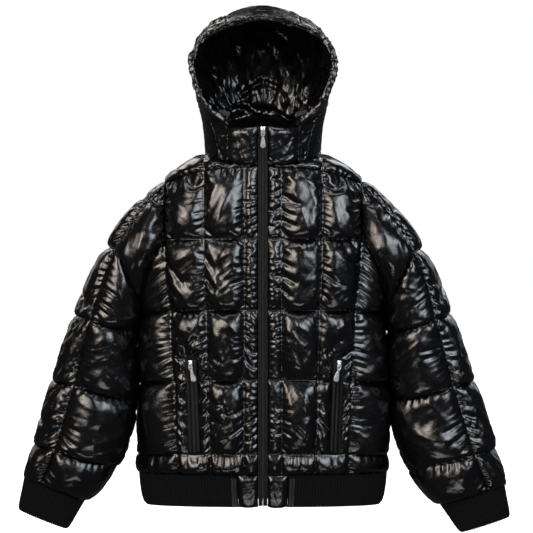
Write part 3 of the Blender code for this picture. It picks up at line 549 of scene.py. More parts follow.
CELL = 0.0025          # about one cell of the fine grids
COARSE = 4             # fine cells to one place worked out from the surface
SEAM_SINK = 0.0034     # how deep the quilting pulls the cloth in
JOIN_SINK = 0.0016     # the same where two pieces meet
INNER_DEPTH = 0.0048   # the wall's inner face, below the surface


def fine_lines(lines, lengths, cell=CELL):
    """Places between seam lines, and the index of each seam line in the fine grid."""
    places = [lines[0]]
    marks = [0]
    for low, high, length in zip(lines, lines[1:], lengths):
        count = max(1, round(length / cell / COARSE))
        places += [lerp(low, high, (n + 1) / count) for n in range(count)]
        marks.append(marks[-1] + count * COARSE)
    return places, marks


def along_axis(values, spots, axis):
    """Values of a grid read at places between its own along one axis."""
    count = values.shape[axis]
    low = np.minimum(spots.astype(int), count - 2)
    form = [1] * values.ndim
    form[axis] = -1
    share = (spots - low).astype(np.float32).reshape(form)
    return np.take(values, low, axis) * (1 - share) + np.take(values, low + 1, axis) * share


def refine(values, times):
    """A grid (3, n, m) with times as many cells each way."""
    for axis in (1, 2):
        spots = np.arange((values.shape[axis] - 1) * times + 1) / times
        values = along_axis(values, spots, axis)
    return values.astype(np.float32)


def unit(values):
    return values / np.maximum(np.sqrt((values * values).sum(0)), 1e-9)


def differences(points, axis):
    points = np.moveaxis(points, axis, -1)
    way = np.empty_like(points)
    way[..., 1:-1] = points[..., 2:] - points[..., :-2]
    way[..., 0] = points[..., 1] - points[..., 0]
    way[..., -1] = points[..., -1] - points[..., -2]
    return np.moveaxis(way, -1, axis)


def grid_normals(points):
    a = differences(points, 1)
    b = differences(points, 2)
    return unit(np.stack((
        a[1] * b[2] - a[2] * b[1],
        a[2] * b[0] - a[0] * b[2],
        a[0] * b[1] - a[1] * b[0],
    )))


def noise(shape, size, rng, angle=0.0):
    """Soft noise of about unit height with lumps of size cells each way, turned by an angle."""
    n, m = shape
    i, j = np.meshgrid(np.arange(n), np.arange(m), indexing="ij")
    a = (i * math.cos(angle) + j * math.sin(angle)) / size[0]
    b = (j * math.cos(angle) - i * math.sin(angle)) / size[1]
    a = a - a.min()
    b = b - b.min()
    lumps = rng.standard_normal((int(a.max()) + 2, int(b.max()) + 2)).astype(np.float32)
    low_a = a.astype(int)
    low_b = b.astype(int)
    share_a = a - low_a
    share_b = b - low_b
    share_a = share_a * share_a * (3 - 2 * share_a)
    share_b = share_b * share_b * (3 - 2 * share_b)
    first = lumps[low_a, low_b] * (1 - share_b) + lumps[low_a, low_b + 1] * share_b
    second = lumps[low_a + 1, low_b] * (1 - share_b) + lumps[low_a + 1, low_b + 1] * share_b
    return (first * (1 - share_a) + second * share_a).astype(np.float32)


class Panel:
    """A cut and sewn panel as a fine grid over its surface."""

    def __init__(self, name, surface, normal, across, up, mirror=False, hole=None):
        self.name = name
        places, marks = across
        rows, self.rows = up
        base = np.array([[surface(a, b) for b in rows] for a in places], np.float32)
        ways = np.array([[normal(a, b) for b in rows] for a in places], np.float32)
        if mirror:
            base = base[::-1] * np.array((-1, 1, 1), np.float32)
            ways = ways[::-1] * np.array((-1, 1, 1), np.float32)
            marks = [marks[-1] - mark for mark in reversed(marks)]
        self.lines = marks
        self.base = refine(base.transpose(2, 0, 1), COARSE)
        self.ways = unit(refine(ways.transpose(2, 0, 1), COARSE))
        self.shape = self.base.shape[1:]
        self.cells = np.ones((self.shape[0] - 1, self.shape[1] - 1), bool)
        for i, j in hole or ():
            self.cells[marks[i]:marks[i + 1], self.rows[j]:self.rows[j + 1]] = False
        self.points = self.base.copy()

    def corners(self, every):
        """Grid points with any (or every) one of their four cells present."""
        around = np.zeros((self.shape[0] + 1, self.shape[1] + 1), bool)
        around[1:-1, 1:-1] = self.cells
        four = (around[:-1, :-1], around[1:, :-1], around[:-1, 1:], around[1:, 1:])
        return np.logical_and.reduce(four) if every else np.logical_or.reduce(four)


# ---------------------------------------------------------------- swelling cloth

# How much of a wrong length each set of threads takes up at once
STIFFNESS = {"across": 0.9, "up": 0.9, "rise": 0.4, "fall": 0.4}
EVERY = slice(None)


def thread_ends(kind, n):
    """Both ends of every second thread of a kind, as slices of a grid."""
    near = slice(n, -1, 2)
    far = slice(n + 1, None, 2)
    return {
        "across": ((near, EVERY), (far, EVERY)),
        "up": ((EVERY, near), (EVERY, far)),
        "rise": ((near, slice(None, -1)), (far, slice(1, None))),
        "fall": ((near, slice(1, None)), (far, slice(None, -1))),
    }[kind]


THREADS = [(kind, *thread_ends(kind, n)) for kind in STIFFNESS for n in (0, 1)]


def rest_lengths(base, slack_across, slack_up, shear):
    """The cloth's own length at each thread: the surface's, and the slack."""
    rests = []
    middle = (slack_across + slack_up) / 2
    slacks = {
        "across": slack_across,
        "up": slack_up,
        "rise": middle + shear,
        "fall": middle - shear,
    }
    for kind, first, second in THREADS:
        a = base[(EVERY, *first)]
        b = base[(EVERY, *second)]
        cut = tuple(slice(0, min(x, y)) for x, y in zip(a.shape[1:], b.shape[1:]))
        length = np.sqrt(((b[(EVERY, *cut)] - a[(EVERY, *cut)]) ** 2).sum(0))
        rests.append((kind, first, second, cut, length * slacks[kind][first][cut]))
    return rests


def pull(points, weight, thread):
    """Moves both ends of one set of threads towards their own length."""
    kind, first, second, cut, rest = thread
    a = points[(EVERY, *first)][(EVERY, *cut)]
    b = points[(EVERY, *second)][(EVERY, *cut)]
    weight_a = weight[first][cut]
    weight_b = weight[second][cut]
    way = b - a
    length = np.sqrt(way[0] * way[0] + way[1] * way[1] + way[2] * way[2]) + 1e-9
    way *= STIFFNESS[kind] * (1 - rest / length) / (weight_a + weight_b + 1e-6)
    a += way * weight_a
    b -= way * weight_b


def laplacian(values):
    flat = np.zeros_like(values)
    flat[:, 1:-1, 1:-1] = (values[:, 2:, 1:-1] + values[:, :-2, 1:-1] + values[:, 1:-1, 2:]
                           + values[:, 1:-1, :-2] - 4 * values[:, 1:-1, 1:-1])
    return flat


KEPT_SPEED = 0.85       # share of the speed that is left after a step
THREAD_SWEEPS = 3


def inflate(points, base, ways, weight, rests, push, low, high, steps, stiff, drop):
    """Pressure, threads that keep their length, a little bending stiffness and weight, and
    limits on how far the cloth stands off its surface."""
    speed = np.zeros_like(points)
    down = np.array((0, 0, -drop), np.float32).reshape(3, 1, 1)
    for _ in range(steps):
        before = points.copy()
        points += (speed * KEPT_SPEED + grid_normals(points) * push + down) * weight
        for _ in range(THREAD_SWEEPS):
            for thread in rests:
                pull(points, weight, thread)
        points -= laplacian(laplacian(points)) * (stiff * weight)
        height = ((points - base) * ways).sum(0)
        points += ways * ((np.maximum(low - height, 0) - np.maximum(height - high, 0)) * weight)
        speed = points - before
    return points


def folds(shape, rng, size=(5, 24), tilts=(-1.0, -0.5, 0.35, 0.85)):
    """Sharp-edged folds from -1 to 1 that lie at different slants in different places."""
    shares = [np.exp(2.2 * noise(shape, (20, 28), rng)) for _ in tilts]
    ridges = [1 - 2.3 * np.abs(noise(shape, size, rng, tilt)) for tilt in tilts]
    total = sum(share * np.clip(ridge, -1.2, 1) for share, ridge in zip(shares, ridges))
    return (total / sum(shares)).astype(np.float32)


# Distances on the cloth, in fine cells
CROSSING_REACH = 11     # how far from a crossing the seams are pulled in
TURN_REACH = 11         # how wide the strip is where a piece turns over
ROW_REACH = 7           # how far gathers run from the rows
LINE_REACH = 5          # how far gathers run from the lines
FREE_REACH = 12.0       # from here on the seams no longer flatten the folds
WIDE_COLUMN = 30        # columns narrower than this gather less

SOFT_ROOM = 0.006       # folds are full where the cloth may stand off by this many metres
STAGES = (
    # one grid point in so many each way, steps of the simulation
    (2, 60),
    (1, 40),
)


def swell(panel, seed, slack=(0.09, 0.10), gather=0.10, push=0.00005, stiff=0.012, high=0.017,
          drop=0.00003, low=-0.0010, sink=SEAM_SINK, join=JOIN_SINK, start=0.006, crumple=1.0,
          shear=0.05, lift=0.0045, fold=0.0013, flat=None, fold_size=(5, 24), fold_up=0.0,
          turned=None):
    """Swells a panel between its seam lines, on every second grid point and then on all. lift
    lets the seams that run up stand out between the rows, fold is the depth of the folds, and
    flat is a line of points the cloth is held down along, with the line's half width. turned is
    where the piece turns over as it lies: which line, how high it may swell there, and how
    much less its rows are pulled in."""
    rng = np.random.default_rng(seed)
    shape = n, m = panel.shape
    lines = panel.lines
    rows = panel.rows
    border = ~panel.corners(True)
    pinned = border.copy()
    pinned[lines] = True
    pinned[:, rows] = True
    depth = np.where(border, join, sink - noise(shape, (4, 4), rng) * 0.0004)
    i_gap = np.min([np.abs(np.arange(n) - line) for line in lines], 0)[:, None]
    j_gap = np.min([np.abs(np.arange(m) - row) for row in rows], 0)[None, :]
    inside = ~border & (i_gap == 0)
    depth = depth - np.where(inside, lift * (1 - np.exp(-((j_gap / CROSSING_REACH) ** 2))), 0)
    sewn = panel.base - panel.ways * depth
    ceiling = np.full(shape, high, np.float32)
    if flat:
        spots, half = flat
        near = np.min([np.sqrt(((panel.base - np.array(spot).reshape(3, 1, 1)) ** 2).sum(0))
                       for spot in spots], 0)
        slope = 0.75 * (1 + 0.6 * noise(shape, (4, 5), rng).clip(-1, 1))
        held = np.maximum(near - half, 0) * slope - 0.0004
        ceiling = np.minimum(ceiling, held).astype(np.float32)
    if turned:
        turn_line, turn_high, turn_lift = turned
        away = np.abs(np.arange(n) - lines[turn_line])
        close = np.exp(-((away / TURN_REACH) ** 2))[:, None]
        ceiling = (ceiling + (turn_high - ceiling) * close).astype(np.float32)
        sewn = sewn + panel.ways * (np.where(j_gap == 0, turn_lift, 0) * close * ~border)

    # the cloth's own length: more than the surface's, and gathered beside the seams
    uneven = 1 + 0.5 * noise(shape, (22, 36), rng).clip(-1.5, 1.5)
    column = np.clip(np.searchsorted(lines, np.arange(n), side="right") - 1, 0, len(lines) - 2)
    wide = np.clip(np.diff(lines)[column] / WIDE_COLUMN, 0.35, 1)[:, None]
    spare = gather * wide * (0.35 + 1.1 * noise(shape, (9, 15), rng).clip(0, 1.6))
    slack_across = (1 + slack[0] * uneven + spare * np.exp(-j_gap / ROW_REACH)).astype(np.float32)
    slack_up = (1 + slack[1] * uneven + spare * np.exp(-i_gap / LINE_REACH)).astype(np.float32)
    skew = (shear * noise(shape, (26, 40), rng).clip(-1.5, 1.5)).astype(np.float32)

    # where the cloth starts from: a low, lumpy cushion
    free = np.minimum(np.minimum(i_gap, j_gap) / FREE_REACH, 1.0)
    tilt = rng.choice((-1, 1)) * rng.uniform(0.35, 0.7)
    lumps = (noise(shape, (3, 3), rng) * 0.0008
             + noise(shape, (6, 20), rng, tilt) * 0.0030
             + noise(shape, (7, 26), rng, -tilt) * 0.0022
             + noise(shape, (14, 14), rng) * 0.0020)
    height = np.sqrt(free) * start + lumps * crumple * free
    points = np.where(pinned, sewn, panel.base + panel.ways * height).astype(np.float32)
    fill = (push * (1 + 0.5 * noise(shape, (16, 22), rng).clip(-1.8, 1.8))).astype(np.float32)
    state = None
    for times, steps in STAGES:
        pick = (slice(None, None, times),) * 2
        if state is None:
            state = np.ascontiguousarray(points[(EVERY, *pick)])
            pins = border[pick].copy()
            pins[[round(line / times) for line in lines]] = True
            pins[:, [round(row / times) for row in rows]] = True
        else:
            pins = pinned
            state = refine(state, 2) + panel.ways * noise(shape, (2.5, 2.5), rng) * 0.0003
            state = np.where(pinned, sewn, state).astype(np.float32)
        base = np.ascontiguousarray(panel.base[(EVERY, *pick)])
        ways = np.ascontiguousarray(panel.ways[(EVERY, *pick)])
        weight = np.where(pins, 0, 1).astype(np.float32)
        rests = rest_lengths(base, slack_across[pick], slack_up[pick], skew[pick])
        steps = steps
        state = inflate(state, base, ways, weight, rests, fill[pick], low, ceiling[pick], steps,
                        stiff, drop)

    # sharper folds than the grid can swell by itself, and small gathers beside the seams
    room = np.minimum(free, np.clip(ceiling / SOFT_ROOM, 0, 1)).astype(np.float32)
    large = (folds(shape, rng, fold_size) + fold_up) * fold
    small = folds(shape, rng, (2.2, 16)) * (fold * 0.34)
    by_seam = np.exp(-((np.minimum(i_gap, j_gap) - 3) / 5.0) ** 2)
    tiny = folds(shape, rng, (1.6, 5)) * (fold * 0.42) * by_seam * ~border
    raised = (large + small) * room + tiny * np.minimum(free * 3, 1)
    panel.points = state + panel.ways * raised


# ---------------------------------------------------------------- meshes

def make_object(name, points, faces, material):
    mesh = bpy.data.meshes.new(name)
    mesh.from_pydata(points, [], faces)
    mesh.validate()
    mesh.shade_smooth()
    mesh.materials.append(material)
    piece = bpy.data.objects.new(name, mesh)
    bpy.context.scene.collection.objects.link(piece)
    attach(piece, "jacket")
    return piece


def turn_out(piece):
    """Turns all faces of a closed piece outwards."""
    mesh = bmesh.new()
    mesh.from_mesh(piece.data)
    bmesh.ops.recalc_face_normals(mesh, faces=mesh.faces)
    mesh.to_mesh(piece.data)
    mesh.free()


def tube_faces(rings, sides, base=0):
    """Faces of a tube: rings of points one after the other, closed with a cap at each end."""
    faces = []
    for ring in range(rings - 1):
        for turn in range(sides):
            a = base + ring * sides + turn
            b = base + ring * sides + (turn + 1) % sides
            faces.append((a, b, b + sides, a + sides))
    faces.append(tuple(base + turn for turn in reversed(range(sides))))
    faces.append(tuple(base + (rings - 1) * sides + turn for turn in range(sides)))
    return faces


def layer_faces(columns, rows, closed=False):
    """Faces of two layers of a grid, the second after the first, closed along their edges."""
    faces = []
    total = columns * rows
    for n in range(columns if closed else columns - 1):
        a = n * rows
        b = ((n + 1) % columns) * rows
        for k in range(rows - 1):
            faces.append((a + k, a + k + 1, b + k + 1, b + k))
            faces.append((total + a + k, total + b + k, total + b + k + 1, total + a + k + 1))
        faces.append((a, b, total + b, total + a))
        faces.append((a + rows - 1, total + a + rows - 1, total + b + rows - 1, b + rows - 1))
    if not closed:
        end = (columns - 1) * rows
        for k in range(rows - 1):
            faces.append((k, total + k, total + k + 1, k + 1))
            faces.append((end + k, end + k + 1, total + end + k + 1, total + end + k))
    return faces


def closed_panel(panel, material, inner=INNER_DEPTH):
    """A closed piece: the swollen cloth outside, a plain coarse face inside, and its edges."""
    step = COARSE
    used = panel.corners(False)
    number = np.full(panel.shape, -1)
    number[used] = np.arange(used.sum())
    i, j = np.nonzero(panel.cells)
    faces = np.stack((number[i, j], number[i + 1, j], number[i + 1, j + 1], number[i, j + 1]), 1)
    wide = panel.cells[::step, ::step]
    back = np.full((wide.shape[0] + 1, wide.shape[1] + 1), -1)
    back_used = used[::step, ::step]
    back[back_used] = used.sum() + np.arange(back_used.sum())
    p, q = np.nonzero(wide)
    back_faces = np.stack((back[p, q], back[p, q + 1], back[p + 1, q + 1], back[p + 1, q]), 1)
    around = np.zeros((wide.shape[0] + 2, wide.shape[1] + 2), bool)
    around[1:-1, 1:-1] = wide
    edges = []
    for a, b in zip(p, q):
        loop = ((0, 0), (1, 0), (1, 1), (0, 1))
        for side, (beyond_a, beyond_b) in enumerate(((0, -1), (1, 0), (0, 1), (-1, 0))):
            if around[a + 1 + beyond_a, b + 1 + beyond_b]:
                continue
            (i0, j0), (i1, j1) = loop[side], loop[(side + 1) % 4]
            run = [number[(a + i0) * step + (i1 - i0) * t, (b + j0) * step + (j1 - j0) * t]
                   for t in range(step + 1)]
            edges.append([int(v) for v in reversed(run)]
                         + [int(back[a + i0, b + j0]), int(back[a + i1, b + j1])])
    deep = panel.base[:, ::step, ::step] - panel.ways[:, ::step, ::step] * inner
    points = np.concatenate((panel.points[:, used].T, deep[:, back_used].T))
    faces = faces.tolist() + back_faces.tolist() + edges
    return make_object(panel.name, points.tolist(), faces, material)


# ---------------------------------------------------------------- materials

def shader_of(material):
    return material.node_tree.nodes["Principled BSDF"]


def new_material(name, colour, roughness, metallic=0.0, **sockets):
    material = bpy.data.materials.new(name)
    material.use_nodes = True
    shader = shader_of(material)
    shader.inputs["Base Color"].default_value = (*colour, 1.0)
    shader.inputs["Roughness"].default_value = roughness
    shader.inputs["Metallic"].default_value = metallic
    for socket, value in sockets.items():
        shader.inputs[socket.replace("_", " ")].default_value = value
    return material


def add_node(material, kind, **settings):
    node = material.node_tree.nodes.new(kind)
    for key, value in settings.items():
        if key in node.inputs:
            node.inputs[key].default_value = value
        else:
            setattr(node, key, value)
    return node


def texture_height(material, kind, **settings):
    """A texture's height, in the object's metres."""
    place = add_node(material, "ShaderNodeTexCoord")
    texture = add_node(material, kind, **settings)
    material.node_tree.links.new(place.outputs["Object"], texture.inputs["Vector"])
    return texture.outputs["Fac"]


def noise_height(material, scale, detail=3.0, distortion=0.0):
    return texture_height(material, "ShaderNodeTexNoise", Scale=scale, Detail=detail,
                          Distortion=distortion)


def wave_height(material, scale, direction, distortion=0.0):
    return texture_height(material, "ShaderNodeTexWave", bands_direction=direction, Scale=scale,
                          Distortion=distortion)


def add_bumps(material, *bumps):
    """Bumps one over the other: (height socket, depth in metres, strength)."""
    links = material.node_tree.links
    before = None
    for height, distance, strength in bumps:
        bump = add_node(material, "ShaderNodeBump", Strength=strength, Distance=distance)
        links.new(height, bump.inputs["Height"])
        if before:
            links.new(before, bump.inputs["Normal"])
        before = bump.outputs["Normal"]
    links.new(before, shader_of(material).inputs["Normal"])


NOISE_SPAN = (0.3, 0.7)     # nearly all of a noise texture lies between these


def vary(material, socket, height, low, high):
    """Lets a number of the shader vary with a texture."""
    links = material.node_tree.links
    span = add_node(material, "ShaderNodeMapRange")
    values = (*NOISE_SPAN, low, high)
    for name, value in zip(("From Min", "From Max", "To Min", "To Max"), values):
        span.inputs[name].default_value = value
    links.new(height, span.inputs["Value"])
    links.new(span.outputs["Result"], shader_of(material).inputs[socket])


def vary_colour(material, height, dark, light):
    """Lets the colour vary with a texture."""
    links = material.node_tree.links
    ramp = add_node(material, "ShaderNodeValToRGB")
    for element, position, colour in zip(ramp.color_ramp.elements, NOISE_SPAN, (dark, light)):
        element.position = position
        element.color = (*colour, 1)
    links.new(height, ramp.inputs["Fac"])
    links.new(ramp.outputs["Color"], shader_of(material).inputs["Base Color"])


def make_nylon(name, colour, rough):
    material = new_material(name, colour, rough, IOR=1.52)
    vary(material, "Roughness", noise_height(material, 60), rough - 0.05, rough + 0.07)
    add_bumps(material,
              (noise_height(material, 90, 4, distortion=0.6), 0.0012, 0.30),
              (noise_height(material, 300, 3, distortion=0.9), 0.0005, 0.35),
              (noise_height(material, 1900, 1), 0.0001, 0.25))
    return material


def make_knit(name):
    material = new_material(name, (0.0025, 0.0025, 0.0025), 0.95, Specular_IOR_Level=0.0)
    vary_colour(material, noise_height(material, 700, 2), (0.0020, 0.0020, 0.0021),
                (0.0046, 0.0046, 0.0048))
    add_bumps(material,
              (wave_height(material, 420, "Z", 1.5), 0.0004, 0.5),
              (noise_height(material, 1500, 3), 0.0003, 0.5))
    return material


def make_tape(name, colour):
    material = new_material(name, colour, 0.6, Specular_IOR_Level=0.15)
    vary_colour(material, noise_height(material, 900, 2), tuple(c * 0.7 for c in colour),
                tuple(c * 1.3 for c in colour))
    add_bumps(material,
              (wave_height(material, 500, "DIAGONAL"), 0.0002, 0.5),
              (noise_height(material, 1600, 2), 0.0002, 0.4))
    return material


def make_metal(name):
    material = new_material(name, (0.93, 0.93, 0.94), 0.27, 1.0)
    vary(material, "Roughness", noise_height(material, 300, 2), 0.24, 0.32)
    add_bumps(material, (noise_height(material, 300, 2), 0.00002, 0.2))
    return material


NYLON = make_nylon("nylon", (0.0010, 0.0010, 0.0012), 0.185)
LINING = make_nylon("lining", (0.0012, 0.0012, 0.0015), 0.17)
KNIT = make_knit("knit")
TAPE = make_tape("tape", (0.0010, 0.0010, 0.0010))
WEBBING = make_tape("webbing", (0.013, 0.013, 0.0135))
METAL = make_metal("metal")
THREAD = new_material("thread", (0.022, 0.022, 0.023), 0.45)
COIL = new_material("coil", (0.002, 0.002, 0.0022), 0.32)
add_bumps(THREAD, (noise_height(THREAD, 2500, 2), 0.0001, 0.5))
add_bumps(COIL, (noise_height(COIL, 1200, 2), 0.0001, 0.3))


# ---------------------------------------------------------------- the quilted panels

BODY_LENGTHS = (0.030, 0.076, 0.074, 0.066)
ROW_LENGTHS = (0.040, 0.140, 0.135, 0.133, 0.118)
BODY_ROWS = fine_lines((0, 1, 2, 3, 4, 5), ROW_LENGTHS)


def one_side(side, lines, lengths):
    """Seam lines of the body's left half, or their mirror places on the right."""
    if side == "left":
        return fine_lines(lines, lengths)
    return fine_lines([16 - q for q in reversed(lines)], lengths[::-1])


def body_panels():
    parts = []
    for side in SIDES:
        under_arm = 3 if side == "left" else 0
        parts.append(("front_" + side, one_side(side, (ZIP_Q, 1, 2, 3, 4), BODY_LENGTHS),
                      BODY_ROWS, ((under_arm, 4),)))
        parts.append(("yoke_" + side, one_side(side, (YOKE_TIP_Q, 2, 3), (0.085, 0.078)),
                      fine_lines((5, 6), (0.060,)), None))
    back = (4, 5, 6, 7, 9, 10, 11, 12), (0.060, 0.074, 0.074, 0.076, 0.076, 0.074, 0.074)
    yoke = (5, 6, 7, 9, 10, 11), (0.074, 0.074, 0.080, 0.074, 0.074)
    parts.append(("back", fine_lines(*back), BODY_ROWS, ((0, 4), (6, 4))))
    parts.append(("back_yoke", fine_lines(*yoke), fine_lines((5, 6), (0.085,)), None))
    return [Panel("shell_" + name, body_point, body_normal, across, up, hole=hole)
            for name, across, up, hole in parts]


def sleeve_panels():
    panels = []
    rows = fine_lines((0, 1, 2, 3, 4, 5), (0.110, 0.110, 0.130, 0.130, 0.070))
    for side in SIDES:
        def point(u, w, side=side):
            return sleeve(side, u, w)

        def normal(u, w, side=side):
            return armhole_normal(u) if w == 0 else sleeve_normal(side, u, w)

        for name, lines in (("under", (0, 1, 2)), ("upper", (2, 3, 4))):
            across = fine_lines(lines, (0.100, 0.100))
            panels.append(Panel(f"shell_sleeve_{name}_{side}", point, normal, across, rows,
                                mirror=side == "right"))
    return panels


def hood_panels():
    panels = []
    channels = fine_lines(HOOD_CHANNELS, (0.040,) * 7)
    for side in SIDES:
        across = fine_lines((0.0, HOOD_PANEL_SEAM), (0.300,))
        panels.append(Panel("shell_hood_" + side, hood, hood_normal, across, channels,
                            mirror=side == "right"))
    across = fine_lines((HOOD_PANEL_SEAM, 10 - HOOD_PANEL_SEAM), (0.136,))
    panels.append(Panel("shell_hood_centre", hood, hood_normal, across, channels))
    return panels


def collar_panels():
    def normal(angle, w):
        return neck_normal(angle) if w == 0 else collar_normal(angle, w)

    across = fine_lines((COLLAR_START_ANGLE, COLLAR_END_ANGLE), (0.060,), cell=0.0018)
    up = fine_lines((0.0, 1.0), (0.072,), cell=0.0018)
    return [Panel("shell_collar_" + side, half_collar, normal, across, up, mirror=side == "right")
            for side in SIDES]


def lining_panel():
    def point(s, k):
        return hood(s, k) - hood_normal(s, k) * LINING_OFFSET

    def normal(s, k):
        return -hood_normal(s, k)

    across = fine_lines((9.5, 8.4, 5.0, 1.6, 0.5), (0.060, 0.270, 0.270, 0.060), cell=0.0030)
    up = fine_lines((0.0, 0.35, 3.2, 6.0), (0.012, 0.125, 0.100), cell=0.0030)
    return Panel("hood_inside", point, normal, across, up)


def hem_tab_panels():
    across = fine_lines((ZIP_Q, HEM_TAB_Q), (0.040,), cell=0.0016)
    up = fine_lines((HEM_END, 0), (0.062,), cell=0.0016)
    return [Panel("shell_hem_tab_" + side, hem, hem_normal, across, up, mirror=side == "right")
            for side in SIDES]


POCKET_HOLD = 0.0122    # how far from a pocket zip's middle the shell is held down
TAB_INNER_DEPTH = 0.0038


def panel_node(name):
    """The solid that a panel stands for."""
    node = name.removeprefix("shell_")
    return node.replace("hood", "hood_side") if node in ("hood_right", "hood_left") else node


SWELLING = {
    # start of the name: what differs for those panels
    "shell_yoke": dict(slack=(0.07, 0.05), high=0.012, fold=0.0010),
    "shell_back_yoke": dict(slack=(0.06, 0.05), high=0.014),
    "shell_sleeve": dict(slack=(0.06, 0.09), high=0.0115, fold=0.0016,
                         turned=(1, 0.0052, 0.0045)),
    "shell_sleeve_under": dict(slack=(0.09, 0.10), high=0.016, push=0.00007, lift=0.0145,
                               turned=(1, 0.016, 0.0125)),
    "shell_hood": dict(slack=(0.05, 0.11), gather=0.07, push=0.00012, high=0.015, lift=0.0),
    "shell_hood_centre": dict(slack=(0.02, 0.11), gather=0.04, push=0.00014, high=0.016,
                              fold=0.0005, lift=0.0, crumple=0.3),
    "shell_collar": dict(slack=(0.05, 0.06), gather=0.03, high=0.008, push=0.0001, start=0.002,
                         fold=0.0011),
    "shell_hem_tab": dict(slack=(0.05, 0.05), gather=0.03, high=0.005, push=0.00008, start=0.001,
                         fold=0.0006, lift=0.0),
}


def make_panels():
    """Swells all the shell's panels, each from its own seed."""
    panels = body_panels() + sleeve_panels() + hood_panels() + collar_panels() + hem_tab_panels()
    jobs = []
    for number, panel in enumerate(panels):
        settings = {}
        for start, values in SWELLING.items():
            if panel.name.startswith(start):
                settings = values
        if panel.name.startswith("shell_front"):
            side = panel.name.split("_")[-1]
            settings = dict(settings, flat=(pocket_line(side)[0], POCKET_HOLD))
        jobs.append((panel, 100 + number, settings))
    with ThreadPoolExecutor(4) as pool:
        list(pool.map(lambda job: swell(job[0], job[1], **job[2]), jobs))
    for panel in panels:
        inner = TAB_INNER_DEPTH if "tab" in panel.name else INNER_DEPTH
        piece = closed_panel(panel, NYLON, inner)
        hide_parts(panel_node(panel.name))


def make_lining():
    panel = lining_panel()
    swell(panel, 7, slack=(0.07, 0.05), gather=0.04, push=0.00006, high=0.010, low=-0.0005,
          sink=0.0002, join=0.0, start=0.001, fold=0.0060, fold_size=(2.6, 8), fold_up=0.9,
          lift=0.0)
    piece = closed_panel(panel, LINING, inner=0.0010)
    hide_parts("hood_lining")


# ---------------------------------------------------------------- ribs

RIB_PITCH = 0.0055
RIB_DEPTH = 0.0028
RIB_POINTS = 6
RIB_WALL = 0.0035
RIB_FURROW = 0.42       # how wide the furrow between two ribs is
RIB_LEVEL = 0.6         # share of the ribs' depth that lies inside the surface
EDGE_GAP = 0.004        # between the hem's tabs and its rib, in q
CURVE_STEPS = 1200      # small steps in which a curve is walked


def ribbed_tube(name, surface, normal, around, rows, closed):
    """A rib knit band: around is its places, rows go from the seam to the free edge, where the
    knit folds back inside."""
    outer = []
    inner = []
    for n, a in enumerate(around):
        phase = 2 * math.pi * n / RIB_POINTS
        ridge = 1 - math.exp(-((math.cos(phase / 2) / RIB_FURROW) ** 2))
        for w in rows:
            way = normal(a, w)
            point = surface(a, w)
            outer.append(point + way * (RIB_DEPTH * (ridge - RIB_LEVEL)))
            inner.append(point - way * RIB_WALL)
    faces = layer_faces(len(around), len(rows), closed)
    piece = make_object(name, outer + inner, faces, KNIT)
    turn_out(piece)
    return piece


def even_places(surface, first, last, step, closed=False):
    """Places an even distance apart along a curve, found by walking it in small steps."""
    fine = [lerp(first, last, n / CURVE_STEPS) for n in range(CURVE_STEPS + 1)]
    points = [surface(a) for a in fine]
    lengths = [0.0]
    for a, b in zip(points, points[1:]):
        lengths.append(lengths[-1] + (b - a).length)
    count = max(RIB_POINTS, round(lengths[-1] / step / RIB_POINTS) * RIB_POINTS)
    places = np.interp(np.linspace(0, lengths[-1], count + 1), lengths, fine)
    return [float(a) for a in (places[:-1] if closed else places)]


def make_ribs():
    step = RIB_PITCH / RIB_POINTS
    start = HEM_TAB_Q + EDGE_GAP
    around = even_places(lambda q: hem(q, 1), start, 16 - start, step)
    rows = [lerp(0, HEM_END, n / 14) for n in range(15)]
    piece = ribbed_tube("ribs_hem", hem, hem_normal, around, rows, closed=False)
    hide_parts("hem_rib")
    for side, flip in FLIP.items():
        def point(u, w, side=side, flip=flip):
            return cuff(side, u, w) * flip

        def normal(u, w, side=side, flip=flip):
            if w == 0:
                return sleeve_normal(side, u, 5) * flip
            after = cuff(side, (u + 0.02) % 4, w)
            before = cuff(side, (u - 0.02) % 4, w)
            down = cuff(side, u, min(w + 0.05, 1)) - cuff(side, u, w - 0.05)
            return (after - before).cross(down).normalized() * flip

        around = even_places(lambda u: point(u, 0.5), 0.0, 4.0, step, closed=True)
        rows = [n / 16 for n in range(17)]
        piece = ribbed_tube("ribs_cuff_" + side, point, normal, around, rows, closed=True)
        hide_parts("cuff_" + side)


# ---------------------------------------------------------------- stitches

STITCH_LENGTH = 0.0026
STITCH_GAP = 0.0009
STITCH_RADIUS = 0.00028
STITCH_SIDES = 6
STITCH_STEP = 0.0005    # the row's direction is read this far before and after
STITCH_RINGS = (
    # share of the stitch's length, share of its radius, sunk by
    (0.0, 0.35, 0.0004),
    (0.2, 0.95, 0.0000),
    (0.8, 0.95, 0.0000),
    (1.0, 0.35, 0.0004),
)


def walked_along(points):
    """How far along a line of points each of them is."""
    steps = np.sqrt(((points[1:] - points[:-1]) ** 2).sum(1))
    return np.concatenate(((0,), np.cumsum(steps)))


def read_at(spot, walked, values):
    return np.array([np.interp(spot, walked, values[:, k]) for k in range(3)])


